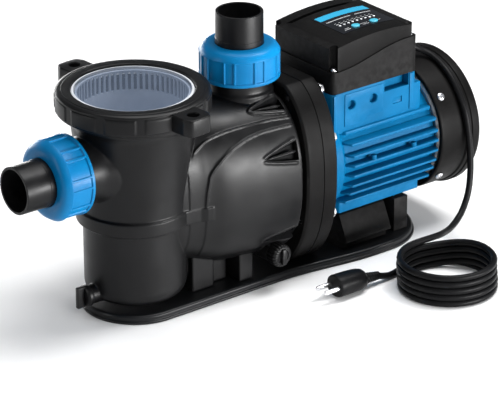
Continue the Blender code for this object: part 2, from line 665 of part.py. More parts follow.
def make_motor_housing():
    core = [(64, MOTOR_FRONT), (64, 222), (CORE_RADIUS, 224), (CORE_RADIUS, FIN_REAR + 1)]
    housing = solid("motor_housing", turned(core, "X", MOTOR_AXIS), "blue_paint")
    fins = bmesh.new()
    for height in FIN_HEIGHTS:
        half = math.sqrt(FIN_RADIUS ** 2 - height ** 2)
        z = MOTOR_Z + height
        lofted([[(x, y, z + d) for x, y in fin_outline(half)] for d in (-1.3, 1.3)], into=fins)
    join(housing, fins)
    rail = fin_outline(RAIL_HALF)
    join(housing, lofted([[(min(x, 347), y, z) for x, y in rail] for z in (49.7, 63.6)]))
    ledge = fin_outline(55.5)
    join(housing, lofted([[(x, y, z) for x, y in ledge] for z in (142.4, 146.2)]))
    join(housing, box((BOX_X[0], -52, 144), (333, 52, 190.5)))
    join(housing, box((330, -52, 143), (341, 52, 177)))
    inside = [(17.4, 200), (17.4, 226), (56, 226), (56, 380)]
    cut(housing, turned(inside, "X", MOTOR_AXIS, INNER_ROUND))
    details = bmesh.new()
    box((232, -40, 171), (320, 40, 200), into=details)
    for side in (-1, 1):
        inner, outer = sorted((side * 42.0, side * 60.0))
        box((289, inner, 177.2), (326, outer, 200), into=details)
        inner, outer = sorted((side * 51.0, side * 60.0))
        box((235.4, inner, 160), (236.4, outer, 186), into=details)
        for x in (245.0, 275.0):
            cylinder("Y", (x, 0, 180), 5.5, side * 47.5, side * 60, 20, into=details)
    cut(housing, details)
    bosses = bmesh.new()
    for side in (-1, 1):
        for x in (264.0, 319.5):
            cylinder("Z", (x, side * 67.5, 0), 3.4, MOTOR_Z + 2, MOTOR_Z + 8, 12, into=bosses)
    join(housing, bosses)


def make_motor_inside():
    solid("stator", tube("X", MOTOR_AXIS, 35, 55.4, 246, 334, 28), "copper")
    solid("front_bearing", tube("X", MOTOR_AXIS, 7.3, 17.1, 210, 221, 24), "steel")
    solid("rear_bearing", tube("X", MOTOR_AXIS, 7.3, 17.1, 357, 367, 24), "steel")
    shield = [(17.4, 355.6), (64, 355.6), (66, 357.6), (66, 368), (17.4, 368)]
    solid("rear_end_shield", turned(shield, "X", MOTOR_AXIS, 28, closed=True), "zinc")


def make_fan_cowl():
    outside = [(72.2, COWL_FRONT), (73.2, COWL_FRONT + 1), (COWL_RADIUS - 0.4, 376), (COWL_RADIUS - 0.6, 390.2)]
    outside += [(75.4, 391.2), (75.6, 395.2), (COWL_RIM_RADIUS, 396.0), (COWL_RIM_RADIUS, 404)]
    outside += [(75.4, 406.8), (72.6, COWL_REAR)]
    inside = [(70.6, COWL_FRONT - 5), (70.6, 389), (73.6, 397), (73.6, 403), (71.6, 405.4)]
    cowl = solid("fan_cowl", turned(outside, "X", MOTOR_AXIS), "black_plastic")
    cut(cowl, turned(inside, "X", MOTOR_AXIS))
    slots = bmesh.new()
    for row in range(-3, 4):
        z = MOTOR_Z + row * 15.0
        half = math.sqrt(62.0 ** 2 - (row * 15.0) ** 2)
        for side in (-1, 1):
            inner, outer = sorted((side * 2.5, side * half))
            box((400, inner, z - 2.8), (420, outer, z + 2.8), into=slots)
    cut(cowl, slots)
    holes = bmesh.new()
    for angle in SCREW_ANGLES:
        radial_screw(angle, [(2.4, 60), (2.4, 90)], 10, holes)
    cut(cowl, holes)


def radial_screw(angle, profile, segments, into=None):
    """Turned shape standing on the cowl along a radius at angle degrees above +Y."""
    bm = into or bmesh.new()
    radial = Vector((0, math.cos(math.radians(angle)), math.sin(math.radians(angle))))
    across = Vector((0, -radial.z, radial.y))
    lengthwise = Vector((1, 0, 0))
    start = Vector((364.5, 0, MOTOR_Z))
    loops = []
    for radius, distance in profile:
        center = start + radial * distance
        if radius < TINY:
            loops.append([bm.verts.new(center)])
            continue
        ring = [2 * math.pi * k / segments for k in range(segments)]
        loops.append([bm.verts.new(center + (across * math.cos(a) + lengthwise * math.sin(a)) * radius)
                      for a in ring])
    return skin(bm, loops)


def make_cowl_screws():
    head = COWL_RADIUS + GAP - 0.6
    profile = [(1.9, 66.4), (1.9, head), (4.6, head), (4.4, head + 1.6), (2.6, head + 2.6), (0, head + 2.8)]
    for number, angle in enumerate(SCREW_ANGLES, 1):
        solid(f"cowl_screw_{number}", radial_screw(angle, profile, 9), "zinc")


def make_motor_foot():
    """Saddle with sloped sides under the motor, and a rear leg on the same sole."""
    low, high = 236.0, 298.0
    section = [(-50, ON_BASE), (50, ON_BASE), (50, 17.5), (58, 18.5), (58, 21), (45, 47.5), (28, 47.5)]
    section += [(28, 40), (-28, 40), (-28, 47.5), (-45, 47.5), (-58, 21), (-58, 18.5), (-50, 17.5)]
    bm = lofted([[(x, y, z) for y, z in section] for x in (low, high)])
    foot = solid("motor_foot", bm, "black_plastic")
    join(foot, box((290, -34, ON_BASE), (330, 34, 14)))
    join(foot, box((309, -50, ON_BASE), (328, 50, 47.5)))
    cut(foot, cylinder("X", MOTOR_AXIS, 64.4, 200, 380, 48))
    for x, y in FOOT_SCREW_PLACES:
        cut(foot, cylinder("Z", (x, y, 0), 5.6, 16, 60, 16))
        cut(foot, cylinder("Z", (x, y, 0), 2.2, 0, 60, 12))


def make_foot_screws():
    for number, (x, y) in enumerate(FOOT_SCREW_PLACES, 1):
        profile = [(0, 3), (1.9, 3), (1.9, 16.3), (4.8, 16.3), (4.8, 19), (3.2, 20.4), (0, 20.6)]
        solid(f"foot_screw_{number}", turned(profile, "Z", (x, y, 0), 9), "zinc")


# ---- controller -------------------------------------------------------------------------------

def seam_height(x):
    """Height of the joint between the controller's base and lid, an S-curve along X."""
    return SEAM_LOW + (SEAM_HIGH - SEAM_LOW) * ease((x - BOX_X[0] - 8) / (BOX_X[1] - BOX_X[0] - 22))


def wavy_box(low, high, radius, bottom, top):
    """Box with rounded upright edges whose bottom and top heights are functions of x."""
    corner = [(radius * (1 - c), radius * (1 - s)) for c, s in arc((0, 0), 1.0, 0, 90, 4)]
    stations = [(low[0] + x, y) for x, y in corner]
    stations += [(BOX_X[0] + 8 + 9.4 * k, 0.0) for k in range(11)]
    stations += [(high[0] - x, y) for x, y in reversed(corner)]
    sections = []
    for x, inset in stations:
        sections.append([(x, low[1] + inset, bottom(x)), (x, high[1] - inset, bottom(x)),
                         (x, high[1] - inset, top(x)), (x, low[1] + inset, top(x))])
    return lofted(sections)


def make_controller():
    low = (BOX_X[0], -BOX_HALF_Y)
    high = (BOX_X[1], BOX_HALF_Y)
    tray = wavy_box(low, high, 5, lambda x: BOX_BOTTOM, seam_height)
    base = solid("controller_base", tray, "controller_plastic")
    inner_low = (low[0] + 3, low[1] + 3)
    inner_high = (high[0] - 3, high[1] - 3)
    cut(base, wavy_box(inner_low, inner_high, 3, lambda x: BOX_BOTTOM + 3, lambda x: 260.0))
    posts = bmesh.new()
    holes = bmesh.new()
    for x, y in CORNER_SCREWS:
        cylinder("Z", (x, y, 0), 5.4, BOX_BOTTOM + 1, seam_height(x) - 0.2, 12, into=posts)
        cylinder("Z", (x, y, 0), 1.9, BOX_BOTTOM + 10, 260, 10, into=holes)
    join(base, posts)
    cut(base, holes)
    cut(base, cylinder("X", (0, -4, 204), 5.2, 328, 340, 16))

    lid_body = wavy_box((low[0] + 1.4, low[1] + 1.2), (high[0] - 1.4, high[1] - 1.2), 4,
                        lambda x: seam_height(x) + GAP, lid_top)
    lid = solid("controller_lid", lid_body, "controller_plastic")
    cut(lid, wavy_box((low[0] + 4.4, low[1] + 4.2), (high[0] - 4.4, high[1] - 4.2), 2.5,
                      lambda x: 200.0, lambda x: lid_top(x) - 3.6))
    notches = bmesh.new()
    for x, y in CORNER_SCREWS:
        outer_x = x + (14 if x > 280 else -14)
        outer_y = y + (14 if y > 0 else -14)
        box((min(x - 4.6, outer_x), min(y - 4.6, outer_y), 200),
            (max(x + 4.6, outer_x), max(y + 4.6, outer_y), 260), into=notches)
    linings = bmesh.new()
    for x, y in CORNER_SCREWS:
        toward = 1 if x < 280 else -1
        inward = 1 if y < 0 else -1
        reach_x = x + toward * 7.4
        reach_y = y + inward * 7.4
        box((min(x - toward * 3, reach_x), min(y - inward * 3, reach_y), seam_height(x) + 1.2),
            (max(x - toward * 3, reach_x), max(y - inward * 3, reach_y), lid_top(x) - 1.0), into=linings)
    join(lid, linings)
    cut(lid, notches)
    cut(lid, panel_slab(GAP, PANEL_PROUD - PANEL_THICK - GAP, 9.0))
    holes = bmesh.new()
    for x, y in BUTTON_PLACES:
        cylinder("Z", (x, y, 0), 2.6, 225, 262, 12, into=holes)
    cut(lid, holes)
    for number, (x, y) in enumerate(CORNER_SCREWS, 1):
        start = seam_height(x) + GAP
        profile = [(0, start - 13), (1.6, start - 13), (1.6, start), (3.7, start), (3.5, start + 1.8),
                   (1.6, start + 2.7), (0, start + 2.8)]
        solid(f"controller_screw_{number}", turned(profile, "Z", (x, y, 0), 9), "zinc")


def lid_top(x):
    """Height of the lid along X, a shallow arch that rises toward the rear."""
    position = (x - BOX_X[0] - 2) / (BOX_X[1] - BOX_X[0] - 11)
    return LID_FRONT_TOP + LID_RISE * position + 4 * LID_CROWN * position * (1 - position)


def panel_slab(margin, bottom, top):
    """Rectangle that follows the arch of the lid, between two heights over it."""
    low, high = PANEL_LOW[0] - margin, PANEL_HIGH[0] + margin
    sections = []
    for k in range(9):
        x = low + (high - low) * k / 8
        sides = [(PANEL_LOW[1] - margin, bottom), (PANEL_HIGH[1] + margin, bottom),
                 (PANEL_HIGH[1] + margin, top), (PANEL_LOW[1] - margin, top)]
        sections.append([(x, y, lid_top(x) + z) for y, z in sides])
    return lofted(sections)


def make_control_panel():
    slab = panel_slab(0.0, PANEL_PROUD - PANEL_THICK, PANEL_PROUD)
    panel = solid("control_panel", slab, "panel_plastic")
    holes = bmesh.new()
    for x, y in BUTTON_PLACES:
        cylinder("Z", (x, y, 0), BUTTON_RADIUS + GAP, 230, 260, 20, into=holes)
    cut(panel, holes)
    for name, (x, y) in zip(("mode_button", "timer_button"), BUTTON_PLACES):
        rim = lid_top(x) + PANEL_PROUD
        low = rim - 0.3
        profile = [(0, 228), (2.1, 228), (2.1, low), (BUTTON_RADIUS, low), (BUTTON_RADIUS, rim + 0.7),
                   (BUTTON_RADIUS - 0.8, rim + 1.3), (0, rim + 1.5)]
        solid(name, turned(profile, "Z", (x, y, 0), 20), "button_plastic", (x, y, rim))


def make_controller_inside():
    solid("circuit_board", box((234, -38, 197), (318, 38, 198.6)), "circuit_green")
    capacitor = [(0, 268), (8.5, 268), (9, 268.6), (9, 309.4), (8.5, 310), (0, 310)]
    solid("capacitor", turned(capacitor, "X", (0, 22, 208.3), 20), "controller_plastic")


# ---- cord -------------------------------------------------------------------------------------

def smooth_route(route, spacing):
    """Points read every spacing millimetres from a Catmull-Rom curve through route."""
    knots = [Vector(point) for point in route]
    knots = [2 * knots[0] - knots[1]] + knots + [2 * knots[-1] - knots[-2]]
    dense = []
    for a, b, c, d in zip(knots, knots[1:], knots[2:], knots[3:]):
        for k in range(20):
            t = k / 20
            dense.append(0.5 * (2 * b + (c - a) * t + (2 * a - 5 * b + 4 * c - d) * t ** 2
                                + (3 * b - a - 3 * c + d) * t ** 3))
    dense.append(knots[-2])
    points = [dense[0]]
    travelled = 0.0
    for before, after in zip(dense, dense[1:]):
        travelled += (after - before).length
        if travelled >= spacing:
            points.append(after)
            travelled = 0.0
    if (points[-1] - dense[-1]).length < spacing / 2:
        points.pop()
    return points + [dense[-1]]


def make_cord_tube(name, route):
    points = smooth_route(route, 10.0)
    curve = bpy.data.curves.new(name, "CURVE")
    curve.dimensions = "3D"
    spline = curve.splines.new("POLY")
    spline.points.add(len(points) - 1)
    for target, point in zip(spline.points, points):
        target.co = (*(point * MM), 1.0)
    curve.bevel_depth = CORD_RADIUS * MM
    curve.bevel_resolution = 2
    curve.use_fill_caps = True
    curve.materials.append(material("cord_rubber"))
    bpy.context.scene.collection.objects.link(bpy.data.objects.new(name, curve))


def make_cord():
    make_cord_tube("power_cord", CORD_ROUTE)
    make_cord_tube("plug_lead", TAIL_ROUTE)
    height = 2 * CORD_RADIUS + COIL_PITCH * (COIL_LAYERS - 1)
    inner = COIL_RADIUS - CORD_RADIUS
    outer = COIL_RADIUS + CORD_RADIUS
    ring = [(inner, 0), (outer, 0), (outer, height - 1), (outer - 1, height), (inner + 1, height),
            (inner, height - 1)]
    solid("cord_coil", turned(ring, "Z", (*COIL_CENTER, 0), closed=True), "cord_rubber")
    rear = BOX_X[1]
    gland = [(3.8, rear + GAP), (8.2, rear + GAP), (8.2, rear + 3.4), (6.4, rear + 4)]
    gland += [(5.2, 346.6), (3.8, 346.6)]
    solid("cable_gland", turned(gland, "X", (0, -4, 204), 16, closed=True), "rubber")
    make_plug()


def make_plug():
    """Rewirable mains plug lying on the ground, with ribbed strain relief and two round pins."""
    end = PLUG_START - GAP
    bm = bmesh.new()
    stations = [(end, 4.2, 8.8), (end - 8, 4.8, 9.4), (end - 18, 6.0, 11.0), (end - 22, 9.0, 12.0)]
    stations += [(end - 30, 12.4, 13.0), (end - 44, 13.2, 13.4), (end - 58, 13.4, 13.6), (end - 60, 12.4, 13.6)]
    loops = []
    for x, radius, z in stations:
        ring = [2 * math.pi * k / 20 for k in range(20)]
        loops.append([bm.verts.new((x, PLUG_Y + radius * math.cos(a), max(z + radius * math.sin(a), 0.1)))
                      for a in ring])
    plug = solid("plug", skin(bm, loops), "cord_rubber")
    pins = bmesh.new()
    for side in (-1, 1):
        profile = [(2.4, end - 59), (2.4, end - 76), (1.4, end - 78)]
        turned(profile, "X", (0, PLUG_Y + side * 7.0, PLUG_Z), 10, into=pins)
    join(plug, pins)


def main():
    clear_scene()
    make_base_plate()
    make_pump_body()
    make_union("suction", "X", SUCTION_AXIS, SUCTION_END)
    make_union("discharge", "Z", DISCHARGE_AXIS, DISCHARGE_END)
    make_lid_ring()
    make_clear_lid()
    make_lid_oring()
    make_basket()
    make_drain_plugs()
    make_motor_bracket()
    make_bracket_bolts()
    make_rotor()
    make_seal_seat_and_diffuser()
    make_motor_housing()
    make_motor_inside()
    make_fan_cowl()
    make_cowl_screws()
    make_motor_foot()
    make_foot_screws()
    make_controller()
    make_control_panel()
    make_controller_inside()
    make_cord()


main()
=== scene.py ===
"""Looks of the pool pump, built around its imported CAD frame.

Coordinates below are millimetres in the frame of the CAD; solid() turns them into metres.
"""

import math

import bmesh
import bpy
from mathutils import Matrix, Vector


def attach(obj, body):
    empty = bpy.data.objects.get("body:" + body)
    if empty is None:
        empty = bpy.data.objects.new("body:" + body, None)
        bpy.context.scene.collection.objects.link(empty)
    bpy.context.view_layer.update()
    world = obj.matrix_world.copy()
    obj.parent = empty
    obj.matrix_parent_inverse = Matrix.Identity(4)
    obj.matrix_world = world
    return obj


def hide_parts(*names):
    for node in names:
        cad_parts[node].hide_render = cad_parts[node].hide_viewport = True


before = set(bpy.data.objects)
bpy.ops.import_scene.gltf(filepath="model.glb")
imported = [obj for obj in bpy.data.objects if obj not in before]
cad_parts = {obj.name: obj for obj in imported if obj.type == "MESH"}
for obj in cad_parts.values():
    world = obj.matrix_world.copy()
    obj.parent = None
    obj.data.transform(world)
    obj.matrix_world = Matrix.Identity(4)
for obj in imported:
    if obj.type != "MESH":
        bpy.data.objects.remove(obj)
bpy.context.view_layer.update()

MM = 0.001
TINY = 1e-6
GAP = 0.3
MOTOR_Z = 109
MOTOR_AXIS = (0, 0, MOTOR_Z)
SUCTION_AXIS = (0, 0, 165.5)
DISCHARGE_X = 137
DISCHARGE_AXIS = (DISCHARGE_X, 0, 0)
SUCTION_END = -148
DISCHARGE_END = 290
TAIL_TO_NECK = 44.6
BRACKET_FRONT = 168
BRACKET_REAR = 208
BOLT_PLACES = [(-40.5, 88), (-62, 41), (-62.5, -44), (40.5, 88), (62, 41), (62.5, -44)]
# y and z from the motor axis, half the width at the rear, and x of the tip of the recess ahead of each bolt
POCKETS = [(-41, 86, 10.5, 118), (-70.5, 43, 12.5, 113), (-66, -51, 10, 116)]
DRAIN_CENTER = (134, 0, 40)
DRAIN_FACE = -62.5
POT_DRAIN = (0, 0, 25)
GLAND_AXIS = (0, -4, 204)
CASING_REAR = 160
# x, half width, height over and depth under the motor axis, squareness of the section
CASING = [
    (4, 47, 91, 53, 2.7), (22, 53, 93, 58, 2.7), (34, 55, 94, 63, 2.65), (48, 58.5, 95, 68.5, 2.6),
    (70, 66, 96, 75.5, 2.5), (90, 70, 96.5, 80, 2.45), (110, 73, 97, 83, 2.4), (130, 74, 97.5, 85, 2.35),
    (157, 74.5, 98, 86.5, 2.35), (170, 74.5, 98, 86.5, 2.35),
]
# x and z along the front and upper edges of the two raised steps on the side of the casing
INNER_STEP = [(47, 50), (47, 111), (48.5, 128), (53, 148), (60.5, 156.5), (69.5, 164), (81.5, 170.6),
    (98.8, 175.8), (118.5, 178.3), (160, 177)]
OUTER_STEP = [(30, 50), (30, 160), (39.5, 172.5), (49, 178.5), (58, 182.4), (74, 185.2), (92, 186.3),
    (135, 185.6), (161, 183.1)]
ON_BASE = 9.3
# x from, to, half width and top of the legs under the casing
LEGS = [(46, 74, 37, 60), (100, 118, 47, 62), (78, 96, 30, 50)]
FIN_FRONT = 231
FIN_REAR = 354
FIN_RADIUS = 71
FIN_HEIGHTS = [-43.3, -31.3, -20.7, -8.8, 2.6, 13.4, 25.6]
BOX_X = (219, 335)
BOX_MIDDLE = 277
BOX_HALF_Y = 52.5
BOX_BOTTOM = 190.8
SCREW_INSET = 6.5
CORNER_SCREWS = [(x, y) for x in (BOX_X[0] + SCREW_INSET, BOX_X[1] - SCREW_INSET)
    for y in (SCREW_INSET - BOX_HALF_Y, BOX_HALF_Y - SCREW_INSET)]
PANEL_LOW = (251.5, -31)
PANEL_HIGH = (321.5, 21.5)
BUTTON_PLACES = [(273.2, -24), (297.5, -24.5)]
FOOT_SCREW_PLACES = [(244, -33), (244, 33)]
COWL_ANGLES = [38, 142, 218, 322]
COWL_SCREW_X = 364.5
NUT_FACE = 34  # from the end of a tail to the outer face of its nut
GRILLE_PITCH = 10.5
GRILLE_RADIUS = 62
CORD_RADIUS = 3.5
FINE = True


# ---- camera and lights ----

def link(obj):
    bpy.context.scene.collection.objects.link(obj)
    return obj


def aim(obj, target):
    obj.rotation_euler = (Vector(target) - obj.location).to_track_quat("-Z", "Y").to_euler()


def make_camera():
    data = bpy.data.cameras.new("camera")
    data.lens = 244.8
    data.sensor_width = 36
    data.sensor_fit = "HORIZONTAL"
    data.clip_end = 60
    camera = link(bpy.data.objects.new("camera", data))
    camera.location = (-1.88069, -2.56429, 1.53703)
    aim(camera, (0.15101, 0, 0.06877))
    bpy.context.scene.camera = camera


def softbox(name, location, target, width, height, power):
    data = bpy.data.lights.new(name, "AREA")
    data.shape = "RECTANGLE"
    data.size = width
    data.size_y = height
    data.energy = power
    light = link(bpy.data.objects.new(name, data))
    light.location = location
    aim(light, target)


def make_studio():
    world = bpy.data.worlds.new("studio")
    world.use_nodes = True
    background = world.node_tree.nodes["Background"]
    background.inputs["Color"].default_value = (0.90, 0.94, 1, 1)
    background.inputs["Strength"].default_value = 0.16
    bpy.context.scene.world = world
    bpy.context.scene.view_settings.view_transform = "Standard"
    center = (0.15, 0, 0.1)
    softbox("top", (0.35, 0, 2.1), center, 1.5, 1.1, 31)
    softbox("spark", (0.88, -0.32, 1.50), (0.09, -0.04, 0.19), 0.5, 0.5, 15)
    softbox("front_low", (0.75, -1.75, 0.15), (0.1, 0, 0.10), 1.2, 0.24, 62)
    softbox("rear_low", (0.3, 1.75, 0.20), (0.1, 0, 0.10), 1.6, 0.30, 22)
    softbox("left_strip", (-1.9, 0.4, 0.75), center, 0.30, 1.3, 9)
    softbox("key", (-0.7, -1.9, 1.5), center, 0.7, 0.5, 6)
    bm = bmesh.new()
    bmesh.ops.create_grid(bm, x_segments=8, y_segments=8, size=7000)
    for vert in bm.verts:
        vert.co.z = -0.4
    floor = solid("floor", bm, "floor")


# ---- mesh helpers ----

def placed(axis, center, across, up, along):
    """Point beside an axis: Z takes (across, up) as (x, y), X as (y, z), Y as (z, x)."""
    x, y, z = center
    if axis == "X":
        return (x + along, y + across, z + up)
    if axis == "Y":
        return (x + up, y + along, z + across)
    return (x + across, y + up, z + along)


def skin(bm, loops, closed=False):
    """Faces between loops of equal length, or between a loop and a single point, with end caps."""
    pairs = list(zip(loops, loops[1:]))
    if closed:
        pairs.append((loops[-1], loops[0]))
    for first, second in pairs:
        count = max(len(first), len(second))
        for k in range(count):
            following = (k + 1) % count
            quad = [first[k % len(first)], first[following % len(first)]]
            quad += [second[following % len(second)], second[k % len(second)]]
            corners = list(dict.fromkeys(quad))
            if len(corners) > 2:
                bm.faces.new(corners)
    if not closed:
        for loop in (loops[0], loops[-1]):
            if len(loop) > 2:
                bm.faces.new(loop)
    return bm


def ease(value):
    value = min(max(value, 0), 1)
    return value * value * (3 - 2 * value)


def rounded(points, radius=0, closed=False, steps=5):
    """Outline with its corners rounded; a third number in a point is that corner's own reach."""
    made = []
    count = len(points)
    for k, point in enumerate(points):
        here = Vector(point[:2])
        reach = point[2] if len(point) > 2 else radius
        if reach <= 0 or (not closed and k in (0, count - 1)):
            made.append((here.x, here.y))
            continue
        before = Vector(points[k - 1][:2]) - here
        after = Vector(points[(k + 1) % count][:2]) - here
        reach = min(reach, 0.48 * before.length, 0.48 * after.length)
        start = here + before.normalized() * reach
        end = here + after.normalized() * reach
        for step in range(steps + 1):
            t = step / steps
            mixed = start * (1 - t) ** 2 + here * 2 * t * (1 - t) + end * t * t
            made.append((mixed.x, mixed.y))
    return made


def turned(profile, axis="Z", center=(0, 0, 0), segments=96, closed=False, shift=0, swell=None):
    """Solid of revolution from (radius, distance) pairs; swell(radius, distance, angle) is added."""
    bm = bmesh.new()
    profile = [tuple(point[:2]) for point in profile]
    if not closed and profile[0][0] < TINY and abs(profile[0][1] - profile[1][1]) < TINY:
        profile = profile[1:]
    if not closed and profile[-1][0] < TINY and abs(profile[-1][1] - profile[-2][1]) < TINY:
        profile = profile[:-1]
    loops = []
    for radius, along in profile:
        if radius < TINY:
            loops.append([bm.verts.new(placed(axis, center, 0, 0, along))])
            continue
        loop = []
        for k in range(segments):
            angle = 2 * math.pi * (k + shift) / segments
            r = radius + (swell(radius, along, angle) if swell else 0)
            loop.append(bm.verts.new(placed(axis, center, r * math.cos(angle), r * math.sin(angle), along)))
        loops.append(loop)
    return skin(bm, loops, closed)


def pipe(axis, center, radius, start, end, segments=32):
    return turned([(radius, start), (radius, end)], axis, center, segments)


def lofted(outlines):
    bm = bmesh.new()
    return skin(bm, [[bm.verts.new(point) for point in outline] for outline in outlines])


def soften(bm, width, steps=2, angle=30):
    """Bevels the edges that are sharper than angle degrees."""
    bmesh.ops.recalc_face_normals(bm, faces=bm.faces)
    limit = math.radians(angle)
    edges = [e for e in bm.edges if len(e.link_faces) == 2 and e.calc_face_angle(0) > limit]
    bmesh.ops.bevel(bm, geom=edges, offset=width, offset_type="OFFSET", segments=steps, profile=0.5,
        affect="EDGES", clamp_overlap=True)
    return bm


def prism(outline, axis, low, high, bevel=0, steps=2):
    """Extruded outline: pairs are (x, y) along Z, (y, z) along X, (x, z) along Y."""
    order = {"X": lambda u, v, w: (w, u, v), "Y": lambda u, v, w: (u, w, v), "Z": lambda u, v, w: (u, v, w)}
    bm = lofted([[order[axis](u, v, w) for u, v in outline] for w in (low, high)])
    return soften(bm, bevel, steps) if bevel else bm


def block(low, high, bevel):
    corners = [(low[0], low[1]), (high[0], low[1]), (high[0], high[1]), (low[0], high[1])]
    return prism(corners, "Z", low[2], high[2], bevel)


def beside(side, low, high, bevel):
    """Block on the given side of the middle plane, from corners that are given for the +Y side."""
    near, far = sorted((side * low[1], side * high[1]))
    return block((low[0], near, low[2]), (high[0], far, high[2]), bevel)


def moved(bm, matrix):
    bmesh.ops.transform(bm, matrix=matrix, verts=bm.verts)
    return bm


def gather(parts):
    """One bmesh of several, which are freed."""
    whole = bmesh.new()
    for part in parts:
        bmesh.ops.recalc_face_normals(part, faces=part.faces)
        mesh = bpy.data.meshes.new("part")
        part.to_mesh(mesh)
        part.free()
        whole.from_mesh(mesh)
        bpy.data.meshes.remove(mesh)
    return whole


def arc(center, radius, start, end, count):
    steps = [math.radians(start + (end - start) * k / (count - 1)) for k in range(count)]
    return [(center[0] + radius * math.cos(a), center[1] + radius * math.sin(a)) for a in steps]


def rounded_rectangle(low, high, radius, count=6):
    (x0, y0), (x1, y1) = low, high
    points = arc((x1 - radius, y1 - radius), radius, 0, 90, count)
    points += arc((x0 + radius, y1 - radius), radius, 90, 180, count)
    points += arc((x0 + radius, y0 + radius), radius, 180, 270, count)
    return points + arc((x1 - radius, y0 + radius), radius, 270, 360, count)


def shade(obj, angle):
    obj.data.shade_smooth()
    obj.data.set_sharp_from_angle(angle=math.radians(angle))


def solid(name, bm, look, angle=38):
    """Object in metres from a bmesh in millimetres, which is freed."""
    bmesh.ops.recalc_face_normals(bm, faces=bm.faces)
    mesh = bpy.data.meshes.new(name)
    moved(bm, Matrix.Scale(MM, 4)).to_mesh(mesh)
    bm.free()
    mesh.materials.append(finish(look))
    obj = link(bpy.data.objects.new(name, mesh))
    shade(obj, angle)
    return obj


def settle(obj):
    """Applies the modifiers of obj."""
    graph = bpy.context.evaluated_depsgraph_get()
    mesh = bpy.data.meshes.new_from_object(obj.evaluated_get(graph))
    obj.modifiers.clear()
    before = obj.data
    obj.data = mesh
    bpy.data.meshes.remove(before)


def carve(obj, bm, operation="DIFFERENCE"):
    """Cuts the shape in bm out of obj, or joins it on."""
    helper = solid("helper", bm, "steel")
    helper.data.materials[0] = obj.data.materials[0]
    modifier = obj.modifiers.new("shape", "BOOLEAN")
    modifier.operation = operation
    modifier.solver = "MANIFOLD"
    modifier.object = helper
    settle(obj)
    bpy.data.objects.remove(helper)
    return obj


def mould(obj, voxel, passes, most):
    """Joins overlapping shells of obj into one skin with small fillets, with at most `most` triangles."""
    modifier = obj.modifiers.new("skin", "REMESH")
    modifier.mode = "VOXEL"
    modifier.voxel_size = (voxel if FINE else 2 * voxel) * MM
    smooth = obj.modifiers.new("fillet", "SMOOTH")
    smooth.factor = 0.5
    smooth.iterations = passes
    settle(obj)
    count = 2 * len(obj.data.polygons)
    if count > most:
        reduce = obj.modifiers.new("reduce", "DECIMATE")
        reduce.ratio = most / count
        settle(obj)


def place(obj, body, slot, *nodes, angle=None):
    """Rides on a body and stands for CAD nodes, which it hides; slot is not used."""
    if angle:
        shade(obj, angle)
    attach(obj, body)
    if nodes:
        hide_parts(*nodes)
    return obj


# ---- materials ----

def fill(tree, socket, value):
    """Links a socket to value, or sets the value on the socket itself."""
    if isinstance(value, bpy.types.NodeSocket):
        tree.links.new(value, socket)
    else:
        socket.default_value = value


def feed(tree, node, **inputs):
    for key, value in inputs.items():
        fill(tree, node.inputs[key.replace("_", " ")], value)


def add(tree, kind, settings=None, **inputs):
    node = tree.nodes.new(kind)
    for key, value in (settings or {}).items():
        setattr(node, key, value)
    feed(tree, node, **inputs)
    return node


def combine(tree, kind, operation, first, second):
    """Math or vector math node with two inputs."""
    node = add(tree, kind, {"operation": operation})
    fill(tree, node.inputs[0], first)
    fill(tree, node.inputs[1], second)
    return node


def blend_colors(tree, factor, first, second):
    node = add(tree, "ShaderNodeMix", {"data_type": "RGBA"})
    for index, value in ((0, factor), (6, first), (7, second)):
        fill(tree, node.inputs[index], (*value, 1) if isinstance(value, tuple) else value)
    return node.outputs[2]


def noise(tree, where, scale, detail):
    return add(tree, "ShaderNodeTexNoise", Vector=where, Scale=scale, Detail=detail).outputs["Fac"]


def spread(tree, value, low, high, to_low, to_high):
    node = add(tree, "ShaderNodeMapRange", {"clamp": True}, Value=value, From_Min=low, From_Max=high,
        To_Min=to_low, To_Max=to_high)
    return node.outputs["Result"]


